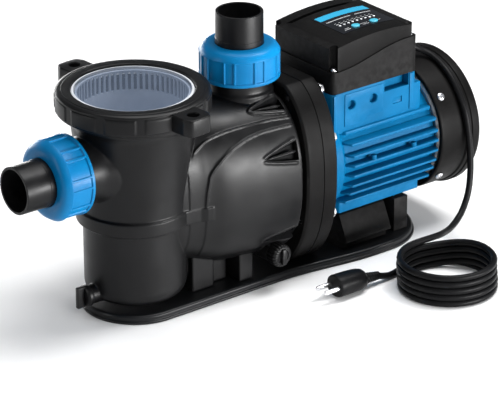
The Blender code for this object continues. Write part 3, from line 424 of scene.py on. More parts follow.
# name: dark colour, light colour, roughness from, to, metallic, grain per metre, bump, edge wear
LOOKS = {
    "floor": ((0.95, 0.95, 0.95), (0.97, 0.97, 0.97), 0.70, 0.80, 0, 300, 0.02, 0),
    "black": ((0.0024, 0.0024, 0.0027), (0.0042, 0.0042, 0.0046), 0.33, 0.43, 0, 1500, 0.10, 0.40),
    "gloss_black": ((0.0040, 0.0043, 0.0050), (0.0060, 0.0065, 0.0075), 0.30, 0.42, 0, 1100, 0.05, 0.30),
    "matte_black": ((0.0030, 0.0029, 0.0029), (0.0050, 0.0047, 0.0047), 0.42, 0.54, 0, 2200, 0.22, 0.30),
    "blue_plastic": ((0.0005, 0.120, 0.295), (0.0010, 0.152, 0.358), 0.30, 0.40, 0, 1300, 0.06, 0.20),
    "blue_paint": ((0.0004, 0.083, 0.196), (0.0008, 0.104, 0.240), 0.34, 0.46, 0, 700, 0.14, 0.25),
    "basket": ((0.27, 0.315, 0.40), (0.37, 0.42, 0.51), 0.35, 0.48, 0, 900, 0.05, 0.10),
    "alloy": ((0.30, 0.31, 0.32), (0.45, 0.46, 0.47), 0.40, 0.60, 1, 500, 0.25, 0.20),
    "film": ((0.006, 0.007, 0.009), (0.009, 0.010, 0.013), 0.18, 0.28, 0, 2600, 0.05, 0),
    "stripe": ((0.020, 0.330, 0.560), (0.030, 0.380, 0.620), 0.22, 0.32, 0, 2600, 0.04, 0),
    "button": ((0.050, 0.400, 0.560), (0.070, 0.460, 0.620), 0.35, 0.45, 0, 2000, 0.08, 0.20),
    "lamp": ((0.74, 0.76, 0.78), (0.86, 0.88, 0.90), 0.15, 0.25, 0, 900, 0.03, 0),
    "print": ((0.46, 0.47, 0.48), (0.60, 0.61, 0.62), 0.30, 0.40, 0, 2600, 0.04, 0),
    "board": ((0.010, 0.100, 0.030), (0.020, 0.160, 0.060), 0.40, 0.55, 0, 800, 0.15, 0),
    "steel": ((0.42, 0.42, 0.43), (0.60, 0.60, 0.61), 0.24, 0.38, 1, 900, 0.10, 0.15),
    "zinc": ((0.66, 0.66, 0.68), (0.82, 0.82, 0.84), 0.22, 0.36, 1, 1200, 0.10, 0.15),
    "winding": ((0.42, 0.13, 0.04), (0.72, 0.30, 0.12), 0.28, 0.42, 1, 1100, 0.50, 0),
    "ceramic": ((0.66, 0.63, 0.56), (0.78, 0.75, 0.68), 0.22, 0.34, 0, 800, 0.04, 0),
    "rubber": ((0.007, 0.007, 0.007), (0.014, 0.014, 0.014), 0.55, 0.75, 0, 1800, 0.20, 0.15),
    "cord": ((0.0032, 0.0032, 0.0036), (0.0060, 0.0060, 0.0064), 0.34, 0.46, 0, 2200, 0.12, 0.10),
}
# specular level, where it is not the usual 0.5
SHINE = {"black": 0.20, "gloss_black": 0.22, "matte_black": 0.07, "cord": 0.08, "blue_plastic": 0.14,
    "blue_paint": 0.07, "film": 0.25, "rubber": 0.2}
# painted highlight: between these radii the lid's colour turns white and the lid turns more opaque
RIM_HIGHLIGHT_EDGE = (0.0592, 0.0606)  # metres from the axis of the pot, where the lid's moulded rim begins


def finish(name):
    """Procedural material: cloudy colour, uneven roughness, fine grain, and lighter worn edges."""
    found = bpy.data.materials.get("pump_" + name)
    if found:
        return found
    made = bpy.data.materials.new("pump_" + name)
    made.use_nodes = True
    tree = made.node_tree
    shader = tree.nodes["Principled BSDF"]
    if name == "clear":
        clear_nodes(tree, shader)
        return made
    dark, light, smooth, rough, metallic, grain, bump, wear = LOOKS[name]
    where = add(tree, "ShaderNodeTexCoord").outputs["Object"]
    cloud = noise(tree, where, 22, 4)
    color = blend_colors(tree, spread(tree, cloud, 0.35, 0.65, 0, 1), dark, light)
    if wear:
        edges = add(tree, "ShaderNodeNewGeometry").outputs["Pointiness"]
        scuffs = spread(tree, noise(tree, where, 160, 5), 0.38, 0.62, 0.25, 1)
        edges = spread(tree, edges, 0.52, 0.60, 0, wear)
        factor = combine(tree, "ShaderNodeMath", "MULTIPLY", edges, scuffs)
        worn = tuple(min(1, 1.5 * value + 0.03) for value in light)
        color = blend_colors(tree, factor.outputs[0], color, worn)
    smudges = noise(tree, where, 55, 5)
    relief = add(tree, "ShaderNodeBump", Strength=bump, Distance=0.0004, Height=noise(tree, where, grain, 2))
    feed(tree, shader, Base_Color=color, Roughness=spread(tree, smudges, 0.3, 0.7, smooth, rough),
        Metallic=metallic, Normal=relief.outputs["Normal"])
    if name in SHINE:
        feed(tree, shader, Specular_IOR_Level=SHINE[name])
    return made


def clear_nodes(tree, shader):
    """Clear polycarbonate: see-through in the middle, with a painted highlight at its moulded rim, where it
    turns white and more opaque.
    """
    where = add(tree, "ShaderNodeTexCoord").outputs["Object"]
    flat = combine(tree, "ShaderNodeVectorMath", "MULTIPLY", where, (1, 1, 0))
    radius = add(tree, "ShaderNodeVectorMath", {"operation": "LENGTH"}, Vector=flat.outputs["Vector"])
    distance = radius.outputs["Value"]
    # painted highlight: the colour whitens toward the moulded rim
    rim = spread(tree, distance, *RIM_HIGHLIGHT_EDGE, 0, 1)
    color = blend_colors(tree, rim, (0.24, 0.31, 0.44), (0.90, 0.93, 0.97))
    haze = spread(tree, noise(tree, where, 30, 4), 0.3, 0.7, 0.11, 0.16)
    # the painted highlight at the rim is also made more opaque
    cover = combine(tree, "ShaderNodeMath", "ADD", haze, spread(tree, distance, *RIM_HIGHLIGHT_EDGE, 0, 0.60))
    scratches = noise(tree, where, 90, 6)
    relief = add(tree, "ShaderNodeBump", Strength=0.04, Distance=0.0003, Height=noise(tree, where, 240, 2))
    feed(tree, shader, Base_Color=color, Alpha=cover.outputs[0], Roughness=spread(tree, scratches, 0.35,
        0.65, 0.04, 0.12), Normal=relief.outputs["Normal"])


# ---- cord ----

COIL_CENTER = (276, -174)
COIL_RADIUS = 49.5
COIL_PITCH = 7.2
COIL_TOP = 32.3
TURNS = 5
PLUG_END = 225.3
PLUG_Y = -123
PLUG_Z = 13.6
GLAND_START = 335.3
CORD_START = [(338, -4, 204), (347, -4, 204), (355, -4, 203.5), (364, -4.5, 200), (372, -5.5, 194),
    (380, -9.5, 189.2), (386, -20, 184.4), (386.5, -36, 178), (386.5, -52, 166.8), (386.5, -65, 151.8),
    (387, -73.8, 134.5), (388, -78.2, 114), (388.5, -81, 92), (387, -84, 70), (381, -88, 49),
    (369, -93, 33), (354, -99, 25.5), (338, -107, 24.5), (322, -115.5, 27.5), (306.8, -122.6, 31)]
CORD_END = [(266, -117.6, 3.6), (255, -119, 3.6), (243.8, -121.6, 3.6), (236, -122.6, 4.8), (230, -123, 7),
    (223, -123, 8.8), (219, -123, 9.2)]


def coil_points():
    """Five stacked turns, counter-clockwise from above, each stepping down near one side."""
    per_turn = 24
    points = []
    start, leave = 75, 360 * TURNS - 20
    count = int((leave + 110 - start) / 360 * per_turn)
    for k in range(1, count + 1):
        angle = start + (leave + 110 - start) * k / count
        turn = (angle - 360) / 360
        level = sum(ease((turn - layer) / 0.21) for layer in range(TURNS - 1))
        radius = COIL_RADIUS + 0.7 * math.sin(math.radians(angle * 0.83 + 40))
        radius += 7.8 * ease((angle - leave) / 80)
        a = math.radians(angle)
        points.append((COIL_CENTER[0] + radius * math.cos(a), COIL_CENTER[1] + radius * math.sin(a),
            COIL_TOP - COIL_PITCH * level))
    return points


def catmull(knots, t):
    """Value of a Catmull-Rom curve at t between the middle two of four knots."""
    a, b, c, d = knots
    return 0.5 * (2 * b + (c - a) * t + (2 * a - 5 * b + 4 * c - d) * t ** 2
        + (3 * b - a - 3 * c + d) * t ** 3)


def between(points, spacing):
    """Points about spacing apart on a Catmull-Rom curve through points."""
    knots = [Vector(point) for point in points]
    knots = [2 * knots[0] - knots[1]] + knots + [2 * knots[-1] - knots[-2]]
    dense = []
    for four in zip(knots, knots[1:], knots[2:], knots[3:]):
        dense += [catmull(four, k / 24) for k in range(24)]
    dense.append(knots[-2])
    kept = [dense[0]]
    travelled = 0
    for before, after in zip(dense, dense[1:]):
        travelled += (after - before).length
        if travelled >= spacing:
            kept.append(after)
            travelled = 0
    if (kept[-1] - dense[-1]).length <= spacing / 3:
        kept.pop()
    return kept + [dense[-1]]


def sweep(points, radii, segments=32):
    """Tube along points with a radius at each, closed at both ends."""
    points = [Vector(point) for point in points]
    bm = bmesh.new()
    loops = []
    across = None
    for k, point in enumerate(points):
        ahead = (points[min(k + 1, len(points) - 1)] - points[max(k - 1, 0)]).normalized()
        if across is None:
            across = ahead.cross(Vector((0, 0, 1))).normalized()
        across = (across - ahead * across.dot(ahead)).normalized()
        up = ahead.cross(across)
        loops.append([bm.verts.new(point + (across * math.cos(a) + up * math.sin(a)) * radii[k])
            for a in [2 * math.pi * s / segments for s in range(segments)]])
    return skin(bm, loops)


def make_cord():
    route = between(CORD_START + coil_points() + CORD_END, 8)
    curve = bpy.data.curves.new("mains_cord", "CURVE")
    curve.dimensions = "3D"
    spline = curve.splines.new("POLY")
    spline.points.add(len(route) - 1)
    for target, point in zip(spline.points, route):
        target.co = (*(point * MM), 1)
    curve.bevel_depth = CORD_RADIUS * MM
    curve.bevel_resolution = 5
    curve.use_fill_caps = True
    curve.materials.append(finish("cord"))
    cord = link(bpy.data.objects.new("mains_cord", curve))
    make_plug()
    make_gland()
    place(cord, "root", "cord_jacket", "power_cord", "cord_coil", "plug_lead")


def make_gland():
    """Tapered, ribbed sleeve where the cord leaves the controller."""
    path = between(CORD_START[:5], 0.8)
    points = []
    radii = []
    travelled = 0
    for k, point in enumerate(path):
        if k:
            travelled += (point - path[k - 1]).length
        along = point.x - GLAND_START
        if travelled > 32 or along < 0:
            continue
        if along < 3.6:
            radius = 8.2 - 0.6 * ease(along - 2.6)
        else:
            taper = 7 - 2.6 * (along - 3.6) / 26
            radius = taper - 0.5 * (0.5 - 0.5 * math.cos((along - 3.6) * 2 * math.pi / 3.4))
        points.append(point)
        radii.append(max(radius, CORD_RADIUS + 0.25))
    gland = solid("cord_sleeve", sweep(points, radii, 40), "rubber")
    return place(gland, "root", "rubber", "cable_gland")


def make_plug():
    """Mains plug lying on its side, with a ribbed sleeve toward the cord and two round pins."""
    stations = []
    for k in range(41):
        along = 20 * k / 40
        ribs = 0.55 * (0.5 - 0.5 * math.cos(along * 2 * math.pi / 3.3)) if 1 < along < 18.5 else 0
        stations.append((along, 4.5 + 0.09 * along - ribs, 8.9 + 0.10 * along))
    stations += [(20.6, 7.4, 11.4), (21.6, 9, 12), (24, 10.6, 12.4), (28, 12, 12.8), (33, 12.7, 13.1),
        (40, 13, 13.3), (50, 13.2, 13.5), (57.6, 13.3, 13.6), (59, 13, 13.6), (59.8, 12.2, 13.6)]
    loops = []
    bm = bmesh.new()
    for along, radius, z in stations:
        loop = []
        for k in range(56):
            a = 2 * math.pi * k / 56
            flat = 1 - 0.10 * ease((along - 22) / 10) * abs(math.sin(a)) ** 3
            grip = 0.7 * ease((along - 30) / 3) * ease((52 - along) / 3) * (0.5 + 0.5 * math.cos(along * 1.6))
            grip *= abs(math.cos(a)) ** 6
            r = (radius - grip) * flat
            loop.append(bm.verts.new((PLUG_END - along, PLUG_Y + r * math.cos(a),
                max(z + r * math.sin(a), 0.1))))
        loops.append(loop)
    plug = solid("mains_plug", skin(bm, loops), "cord")
    pin = rounded([(0, -58), (2.4, -58), (2.4, -78, 1.2), (0, -78.4)])
    pins = [turned(pin, "X", (PLUG_END, PLUG_Y + side * 7, PLUG_Z), 24) for side in (-1, 1)]
    place(solid("plug_pins", gather(pins), "zinc"), "root", "zinc")
    return place(plug, "root", "cord_jacket", "plug")


# ---- base ----

def base_outline(inset):
    front, rear = 57 - inset, 69 - inset
    flare = [(150 + 6 * k, front + (rear - front) * ease(k / 20)) for k in range(21)]
    side = flare + [(286, rear)]
    points = arc((0, 0), front, 90, 270, 60)
    points += [(x, -y) for x, y in side]
    points += arc((290, 0), rear, -90, 90, 60)
    return points + [(x, y) for x, y in reversed(side)]


def make_base():
    profile = rounded([(0.6, 0), (0, 0.6, 0.4), (0, 2.7, 0.8), (1.8, 3.2, 0.5), (1.7, 7.2, 1.2),
        (3.6, 9, 1.2), (9, 9)], 0.4)
    bm = lofted([[(x, y, z) for x, y in base_outline(inset)] for inset, z in profile])
    base = solid("base_foot_plate", bm, "gloss_black")
    for x, y in FOOT_SCREW_PLACES:
        carve(base, pipe("Z", (x, y, 0), 2.2, -1, 12))
    place(base, "root", "base_plastic", "base_plate", angle=38)


# ---- pump body ----

def bolt_point(spot):
    return (0, spot[0], MOTOR_Z + spot[1])


def casing_size(x):
    """Half width, height, depth and squareness of the casing at x, eased between the rows of CASING."""
    knots = [CASING[0]] + CASING + [CASING[-1]]
    for k in range(1, len(knots) - 2):
        if x <= knots[k + 1][0] or k == len(knots) - 3:
            t = (x - knots[k][0]) / (knots[k + 1][0] - knots[k][0])
            return [catmull(four, t) for four in zip(*(row[1:] for row in knots[k - 1:k + 3]))]


def superellipse(power, count):
    """Points of a rounded square that reaches 1 on each axis, with the given squareness."""
    points = []
    for k in range(count):
        angle = 2 * math.pi * (k + 0.5) / count
        c, s = math.cos(angle), math.sin(angle)
        scale = (abs(c) ** power + abs(s) ** power) ** (-1 / power)
        points.append((scale * c, scale * s))
    return points


def casing_section(x, inset):
    half, over, under, power = casing_size(x)
    return [(x, (half - inset) * u, MOTOR_Z + ((over if v > 0 else under) - inset) * v)
        for u, v in superellipse(power, 200)]


def casing_half_width(x, z, raised=0):
    """Distance of the casing's side from the middle plane at a point of its side view."""
    half, over, under, power = casing_size(x)
    reach = (over if z > MOTOR_Z else under) + raised
    return (half + raised) * max(1 - (abs(z - MOTOR_Z) / reach) ** power, 0) ** (1 / power)


def casing_outside():
    stations = [(4 + 3 * k, 0) for k in range(52)] + [(CASING_REAR - 0.8, 0), (CASING_REAR, 0.8)]
    stations += [(CASING_REAR, 5), (BRACKET_FRONT - 1.5, 5)]
    return lofted([casing_section(x, inset) for x, inset in stations])


def raised_step(outline, height):
    """Part of a larger casing, as far as the outline in the XZ plane reaches."""
    stations = [22 + 3 * k for k in range(46)] + [CASING_REAR - 0.4]
    whole = solid("step", lofted([casing_section(x, -height) for x in stations]), "black")
    outline = rounded(outline + [(170, outline[-1][1]), (170, outline[0][1])], 6, closed=True)
    return as_bmesh(carve(whole, prism(outline, "Y", -95, 95), "INTERSECT"))


def as_bmesh(obj):
    """The shape of obj in millimetres; obj is removed."""
    bm = bmesh.new()
    bm.from_mesh(obj.data)
    bmesh.ops.transform(bm, matrix=Matrix.Scale(1 / MM, 4), verts=bm.verts)
    bpy.data.objects.remove(obj)
    return bm


def fin_line(points, radius):
    """Round bead through points."""
    path = between(points, 1.5)
    return sweep(path, [radius * min(1, 0.3 + 0.25 * min(k, len(path) - 1 - k)) for k in range(len(path))],
        12)


def pocket_corner(side, y, z, width, part, x, lift=0):
    """Point on the casing beside the middle line of a pocket; part runs from -1 below to 1 above."""
    turn = math.atan2(z, y)
    across = (-math.sin(turn), math.cos(turn))
    if z > 0 or y < 0:
        across = (-across[0], -across[1])
    spot = (y + across[0] * width * part, z + across[1] * width * part)
    low, high = 0.5, 1.5
    half, over, under, power = casing_size(x)
    for _ in range(24):
        scale = (low + high) / 2
        reach = over if spot[1] > 0 else under
        if (abs(spot[0] * scale) / half) ** power + (abs(spot[1] * scale) / reach) ** power < 1:
            low = scale
        else:
            high = scale
    reach = math.hypot(*spot)
    scale = low + lift / reach
    return (x, side * spot[0] * scale, MOTOR_Z + spot[1] * scale)


def pocket_lips(side, y, z, width, tip):
    """Two raised lips that spread from the tip of a pocket to the rear of the casing."""
    reach = CASING_REAR + 1.5 - tip
    return [fin_line([pocket_corner(side, y, z, width * 1.06, part * (k / 8) ** 0.75,
        tip - 3 + reach * k / 8, 0.9) for k in range(9)], 2.1) for part in (-1, 1)]


def pocket_hollow(side, y, z, width, tip):
    """Wedge that deepens from the tip of a pocket toward the bracket."""
    sections = []
    for k in range(9):
        t = k / 8
        x = tip + 1.5 + (CASING_REAR + 1 - tip) * t
        corners = ((-1, 0.93, 6), (1, 0.93, 6), (1, 0.80, -0.6 - 12.5 * t), (-1, 0.80, -0.6 - 12.5 * t))
        sections.append([pocket_corner(side, y, z, width, part * (t ** 0.75 * share + 0.001), x, lift)
            for part, share, lift in corners])
    return lofted(sections)


def make_pump_body():
    pot = rounded([(0, 14), (38, 14, 2), (45, 15.8, 2), (50.6, 20.4, 3), (53, 27, 3), (53.4, 95, 1),
        (57, 98, 1), (60.4, 98.6, 0.5), (60.4, 112.6, 0.5), (57.6, 114, 0.6), (57.8, 130, 6), (60, 165, 10),
        (63, 194, 8), (64.4, 205, 3), (68, 210.5, 1.5), (68, 226, 0.5), (0, 226)])
    neck = rounded([(0, 150), (35.6, 150), (35.6, 206, 1.2), (33.6, 208.4, 1.2), (33.2, 212, 2),
        (33.2, 245.4), (0, 245.4)])
    suction = rounded([(0, -30), (41, -40), (40, -46, 4), (34.4, -60, 6), (33, -72),
        (33, SUCTION_END + TAIL_TO_NECK), (0, SUCTION_END + TAIL_TO_NECK)], 2)
    parts = [turned(pot, segments=192), casing_outside(), turned(neck, "Z", DISCHARGE_AXIS, 128),
        turned(suction, "X", SUCTION_AXIS, 128, shift=0.5), raised_step(OUTER_STEP, 1),
        raised_step(INNER_STEP, 2)]
    parts += [block((x, -y, ON_BASE), (far, y, z), 1.6) for x, far, y, z in LEGS]
    parts.append(turned([(0, -40), (10, -40), (10, -60), (0, -60)], "X", POT_DRAIN, 48))
    parts.append(turned([(0, -20), (11.4, -20), (11.4, DRAIN_FACE), (0, DRAIN_FACE)], "Y", DRAIN_CENTER, 48))
    for side in (-1, 1):
        band = [(-8, 50), (-8, 59.6)] + [(60.4 * math.sin(a), 60.4 * math.cos(a)) for a in (0, 0.1, 0.2, 0.3)]
        band += [(x, casing_half_width(x, 106, 1.2)) for x in (24, 30, 36, 42)]
        band += [(x, casing_half_width(x, 106, 3)) for x in (48, 51, 54)]
        band += [(56, casing_half_width(56, 106)), (56, 48)]
        parts.append(prism([(x, side * y) for x, y in band], "Z", 99, 113.2))
        for outline, raised in ((INNER_STEP[1:], 1.6), (OUTER_STEP[1:], 0.7)):
            outline = rounded(outline, 6)
            bead = [(x, side * casing_half_width(x, z, raised), z) for x, z in outline if x > 39]
            parts.append(fin_line(bead, 1.3))
        for pocket in POCKETS:
            parts += pocket_lips(side, *pocket)
    body = solid("pump_casing", gather(parts), "black")
    mould(body, 0.8, 2, 190000)
    carve(body, block((BRACKET_FRONT - 0.6, -60, 140), (BRACKET_FRONT + 40, 60, 225), 0))
    inside = rounded([(0, 19), (38, 19), (46, 23), (48, 29), (48, 93), (52.6, 99), (52.6, 150), (58.6, 192),
        (58.6, 209), (61, 209), (61, 240), (0, 240)])
    carve(body, turned(inside, segments=128))
    carve(body, turned([(0, 62), (57.5, 62), (64, 96), (66, 100), (66, 190), (0, 190)], "X", MOTOR_AXIS, 128))
    carve(body, pipe("X", MOTOR_AXIS, 21, 30, 80, 64))
    carve(body, pipe("X", SUCTION_AXIS, 24, SUCTION_END, -40, 96))
    carve(body, pipe("Z", DISCHARGE_AXIS, 24, 150, 300, 96))
    for axis, center, low, high in (("X", SUCTION_AXIS, -108.4, -100.8), ("Z", DISCHARGE_AXIS, 242.8, 250.4)):
        carve(body, turned([(26.2, low), (29.8, low), (29.8, high), (26.2, high)], axis, center, 96, True))
    carve(body, pipe("X", POT_DRAIN, 5.2, -70, -40, 32))
    carve(body, pipe("Y", DRAIN_CENTER, 5.2, -75, -12, 32))
    both = [(side, *pocket) for side in (-1, 1) for pocket in POCKETS]
    for pocket in both:
        carve(body, pocket_hollow(*pocket))
    for side, y, z, width, tip in both:
        start = tip + 8
        rib = [pocket_corner(side, y, z, width, 0, start + (CASING_REAR - 1 - start) * k / 4,
            -1.6 - 0.9 * k) for k in range(5)]
        carve(body, fin_line(rib, 1.9), "UNION")
    place(body, "root", "body_plastic", "pump_body", angle=42)


# ---- unions ----

def window(value, low, high, blur):
    """1 between low and high, falling to 0 over blur at both sides."""
    return ease((value - low) / blur + 0.5) * ease((high - value) / blur + 0.5)


def make_union(name, axis, center, end):
    def at(distance):
        return end + distance if axis == "X" else end - distance

    tail = [(22.2, 0, 0.5), (24.9, 0, 0.6), (25, 28, 0.3), (25.35, 28.4, 0.3), (25.35, 38.6),
        (32.4, 38.6, 0.4), (32.4, 44.3), (22.2, 44.3)]
    tail = [(radius, at(distance)) for radius, distance in rounded(tail, closed=True)]
    tail = solid(f"{name}_tail_tube", turned(tail, axis, center, 144, closed=True), "black")
    place(tail, f"{name}_tail", "body_plastic", f"{name}_tail")

    profile = rounded([(25.5, 4.3), (25.5, 0, 0.7), (35.8, 0, 5.5), (42.4, 6.4, 3.5)])[:-1]
    profile += [(42.4, d) for d in (8.2, 8.6, 8.9, 9.2, 9.5, 9.8, 10.2, 15, 21, 27, 31.4, 31.8, 32.1, 32.4,
        32.7, 33.1)]
    profile += rounded([(42.4, 33.5), (42.4, 36, 1.6), (33.4, 36, 0.6), (33.4, 4.3)])

    def recess(radius, along, angle):
        if radius < 42:
            return 0
        spot = (math.degrees(angle) % 45) / 45 * 33.3
        panel = window(spot, 1.1, 20.7, 0.6) + window(spot, 22.9, 32.2, 0.6)
        return -1.5 * panel * window(abs(along - end) - NUT_FACE, 9.2, 32.2, 0.9)

    profile = [(radius, at(distance + NUT_FACE)) for radius, distance in profile]
    nut = turned(profile, axis, center, 640, closed=True, swell=recess)
    nut = solid(f"{name}_union_nut", nut, "blue_plastic", 50)
    place(nut, f"{name}_nut", "blue_plastic", f"{name}_nut")


# ---- strainer ----

def make_lid_ring():
    def pads(radius, along, angle):
        if radius < 77.5 or along > 236.4:
            return 0
        spot = math.degrees(angle) % 30
        return window(spot, 2.6, 25.4, 1.2) * window(along, 220, 235.4, 1)

    outer = rounded([(68.5, 217), (77.8, 217, 0.8), (78.8, 218.2, 0.5), (79, 219.2)])
    outer += [(79, z) for z in (219.5, 219.8, 220.1, 220.5, 224, 228, 232, 234.8, 235.1, 235.5, 235.9)]
    outer += rounded([(79, 236.2), (79, 238, 1.4), (76, 239.7, 1.4), (73, 239.6, 0.4), (72.5, 240, 0.4),
        (64.2, 240, 0.8), (63.4, 239, 0.4), (63.4, 234.6), (68.5, 234.6)])
    ring = solid("locking_ring", turned(outer, segments=480, closed=True, swell=pads), "black")
    for side in (-1, 1):
        turn = Matrix.Rotation(math.radians(90 * side + 4.5), 4, "Z")
        outline = rounded([(70, -16), (95, -16.4, 1), (104, -12.5, 4), (105, 0, 8), (104, 12.5, 4),
            (95, 16.4, 1), (70, 16)])
        carve(ring, moved(prism(outline, "Z", 219, 237.4, 1.5, 3), turn), "UNION")
        cutter = rounded([(0, 210), (6.2, 210), (6.2, 236.4, 0.6), (7.6, 238.2), (7.6, 245), (0, 245)])
        carve(ring, pipe("Z", (0, 0, 0), 68.5, 200, 234.6, 192))
        carve(ring, turned(cutter, "Z", turn @ Vector((91, 0, 0)), 48))
    place(ring, "lid_ring", "body_plastic", "lid_ring", angle=40)


def make_lid():
    profile = rounded([(0, 236.4), (20, 236.4), (40, 236.2), (59.6, 236, 0.6), (59.6, 230, 0.3),
        (66.8, 230, 0.3), (66.8, 234.2, 0.3), (62.8, 234.2), (62.8, 238, 1.6), (55, 238.4, 3),
        (30, 238.9, 6), (0, 239.1)])
    lid = solid("strainer_window", turned(profile, segments=192), "clear")
    place(lid, "lid", "clear_plastic", "clear_lid")


def make_basket():
    profile = rounded([(0, 38), (38, 38, 2), (42, 42, 1), (44, 95), (55, 190), (57.5, 209.4, 0.3),
        (60, 209.4, 0.3), (60, 213.3, 0.3), (58.6, 213.3), (58.6, 235.4, 0.5), (56.6, 235.4, 0.5),
        (56.6, 214), (55.2, 208), (52.8, 190), (41.8, 95), (39.8, 44, 2), (0, 41)])
    basket = solid("strainer_basket", turned(profile, segments=176), "basket")
    slots = []
    for count, inner, outer, width, bottom, top in ((36, 34, 60, 3, 56, 172),
            (60, 50, 58.65, 3.3, 213.6, 233.4)):
        for k in range(count):
            slot = rounded_rectangle((-width / 2, bottom), (width / 2, top), width * 0.4, 4)
            turn = Matrix.Rotation(2 * math.pi * (k + 0.5) / count, 4, "Z")
            slots.append(moved(prism(slot, "X", inner, outer), turn))
    carve(basket, gather(slots))
    place(basket, "basket", "basket_plastic", "basket", angle=38)


def make_drain_plugs():
    start = -60.3
    profile = rounded([(0, -50), (4.6, -50), (4.6, start), (11, start, 0.4), (11.6, start - 1),
        (11.6, start - 5, 1), (9.6, start - 6.4, 0.6), (0, start - 6.6)])
    plug = solid("pot_drain_plug", turned(profile, "X", POT_DRAIN, 64), "black")
    wing = rounded([(-2.4, 13.6, 1), (2.4, 13.6, 1), (2.4, 36.6, 1), (-2.4, 36.6, 1)], closed=True)
    carve(plug, prism(wing, "X", start - 14.5, start - 5, 0.9), "UNION")
    place(plug, "strainer_drain_plug", "body_plastic", "strainer_drain_plug", angle=40)

    start = DRAIN_FACE - GAP
    stub = turned([(0, -50), (4.6, -50), (4.6, start - 2), (0, start - 2)], "Y", DRAIN_CENTER, 40)

    def ribs(radius, along, angle):
        if radius < 8.8:
            return 0
        wave = abs(math.cos(angle * 10)) ** 0.6
        return -1.1 * (1 - wave) * ease((start - 0.4 - along) / 1.2)

    profile = rounded([(0, start), (11.4, start, 0.6), (12.4, start - 1.6, 0.6), (12.4, start - 7),
        (12.4, start - 12.2, 1.6), (10.2, start - 14.2, 1), (7.4, start - 14.6, 0.4),
        (6.8, start - 13.4, 0.4), (0, start - 13.4)])
    knob = solid("casing_drain_knob", turned(profile, "Y", DRAIN_CENTER, 200, swell=ribs), "black")
    carve(knob, stub, "UNION")
    x = DRAIN_CENTER[0]
    carve(knob, block((x - 2.4, start - 17.6, 31.4), (x + 2.4, start - 12, 48.6), 0.9), "UNION")
    place(knob, "volute_drain_plug", "body_plastic", "volute_drain_plug", angle=40)


# ---- bracket ----

def bracket_outline(inset):
    points = []
    for u, v in superellipse(2.35, 240):
        z = min(max((109 - inset) * v, ON_BASE - MOTOR_Z), 101 - inset)
        points.append(((76 - inset) * u, MOTOR_Z + z))
    return points


def make_bracket():
    levels = rounded([(168, 5), (168, 2.6, 0.4), (170.4, 0.4, 0.8), (173, 0, 0.5), (188.6, 0, 0.3),
        (189, 0.9, 0.2), (190, 0.9, 0.2), (190.4, 0, 0.3), (206.6, 0, 1), (208, 1.6, 0.3), (208, 5)])
    bm = lofted([[(x, y, z) for y, z in bracket_outline(inset)] for x, inset in levels])
    bracket = solid("motor_flange", bm, "matte_black")
    carve(bracket, turned([(0, 158), (64, 158), (65.2, 160), (65.2, 170), (0, 170)], "X", MOTOR_AXIS, 128),
        "UNION")
    carve(bracket, turned([(0, 150), (13, 150), (13, 167), (9, 167), (9, 186), (46, 186), (46, 220),
        (0, 220)], "X", MOTOR_AXIS, 96))
    for spot in BOLT_PLACES:
        carve(bracket, pipe("X", bolt_point(spot), 3.4, 150, 220, 24))
    place(bracket, "root", "body_plastic", "motor_bracket", angle=34)


# ---- fasteners ----

def pose_to(origin, direction):
    """Matrix that takes +Z to direction and the origin to origin."""
    turn = Vector(direction).to_track_quat("Z", "Y").to_matrix().to_4x4()
    return Matrix.Translation(Vector(origin)) @ turn


def stand(obj, origin, direction, node, angle):
    """Moves a zinc fastener to its seat at origin, with its head along direction."""
    obj.data.transform(Matrix.Scale(MM, 4) @ pose_to(origin, direction) @ Matrix.Scale(1 / MM, 4))
    place(obj, "root", "zinc", node, angle=angle)


def around_motor(angle):
    return Vector((0, math.cos(math.radians(angle)), math.sin(math.radians(angle))))


def hex_bolt(name, node, origin, direction, shank):
    """Hexagon head with a washer face, standing up along direction from the seat at origin."""
    stem = turned([(0, -shank), (3, -shank), (3, 0.5), (0, 0.5)], segments=24)
    washer = turned(rounded([(0, 0), (7.3, 0, 0.3), (7.3, 1.3, 0.5), (5, 1.7), (0, 1.7)]), segments=48)
    head = turned([(0, 1.2), (6, 1.2), (6, 5.2), (0, 5.2)], segments=6)
    soften(head, 0.35)
    dome = turned(rounded([(0, 0), (5.95, 0), (5.95, 4.3, 0.8), (5, 5.6, 0.8), (0, 5.7)]), segments=48)
    head = as_bmesh(carve(solid("head", head, "zinc"), dome, "INTERSECT"))
    bolt = solid(name, stem, "zinc")
    carve(bolt, washer, "UNION")
    carve(bolt, head, "UNION")
    stand(bolt, origin, direction, node, 30)


def pan_screw(name, node, origin, direction, radius, height, stem_radius, shank):
    """Pan head with a cross recess."""
    profile = rounded([(0, -shank), (stem_radius, -shank, 0.4), (stem_radius, 0), (radius, 0, 0.25),
        (radius, height * 0.45, 0.6), (radius * 0.62, height * 0.94, 0.8), (0, height)])
    screw = solid(name, turned(profile, segments=48), "zinc")
    for x, y in ((radius * 0.62, radius * 0.15), (radius * 0.15, radius * 0.62)):
        carve(screw, block((-x, -y, height * 0.45), (x, y, height + 2), 0))
    stand(screw, origin, direction, node, 35)


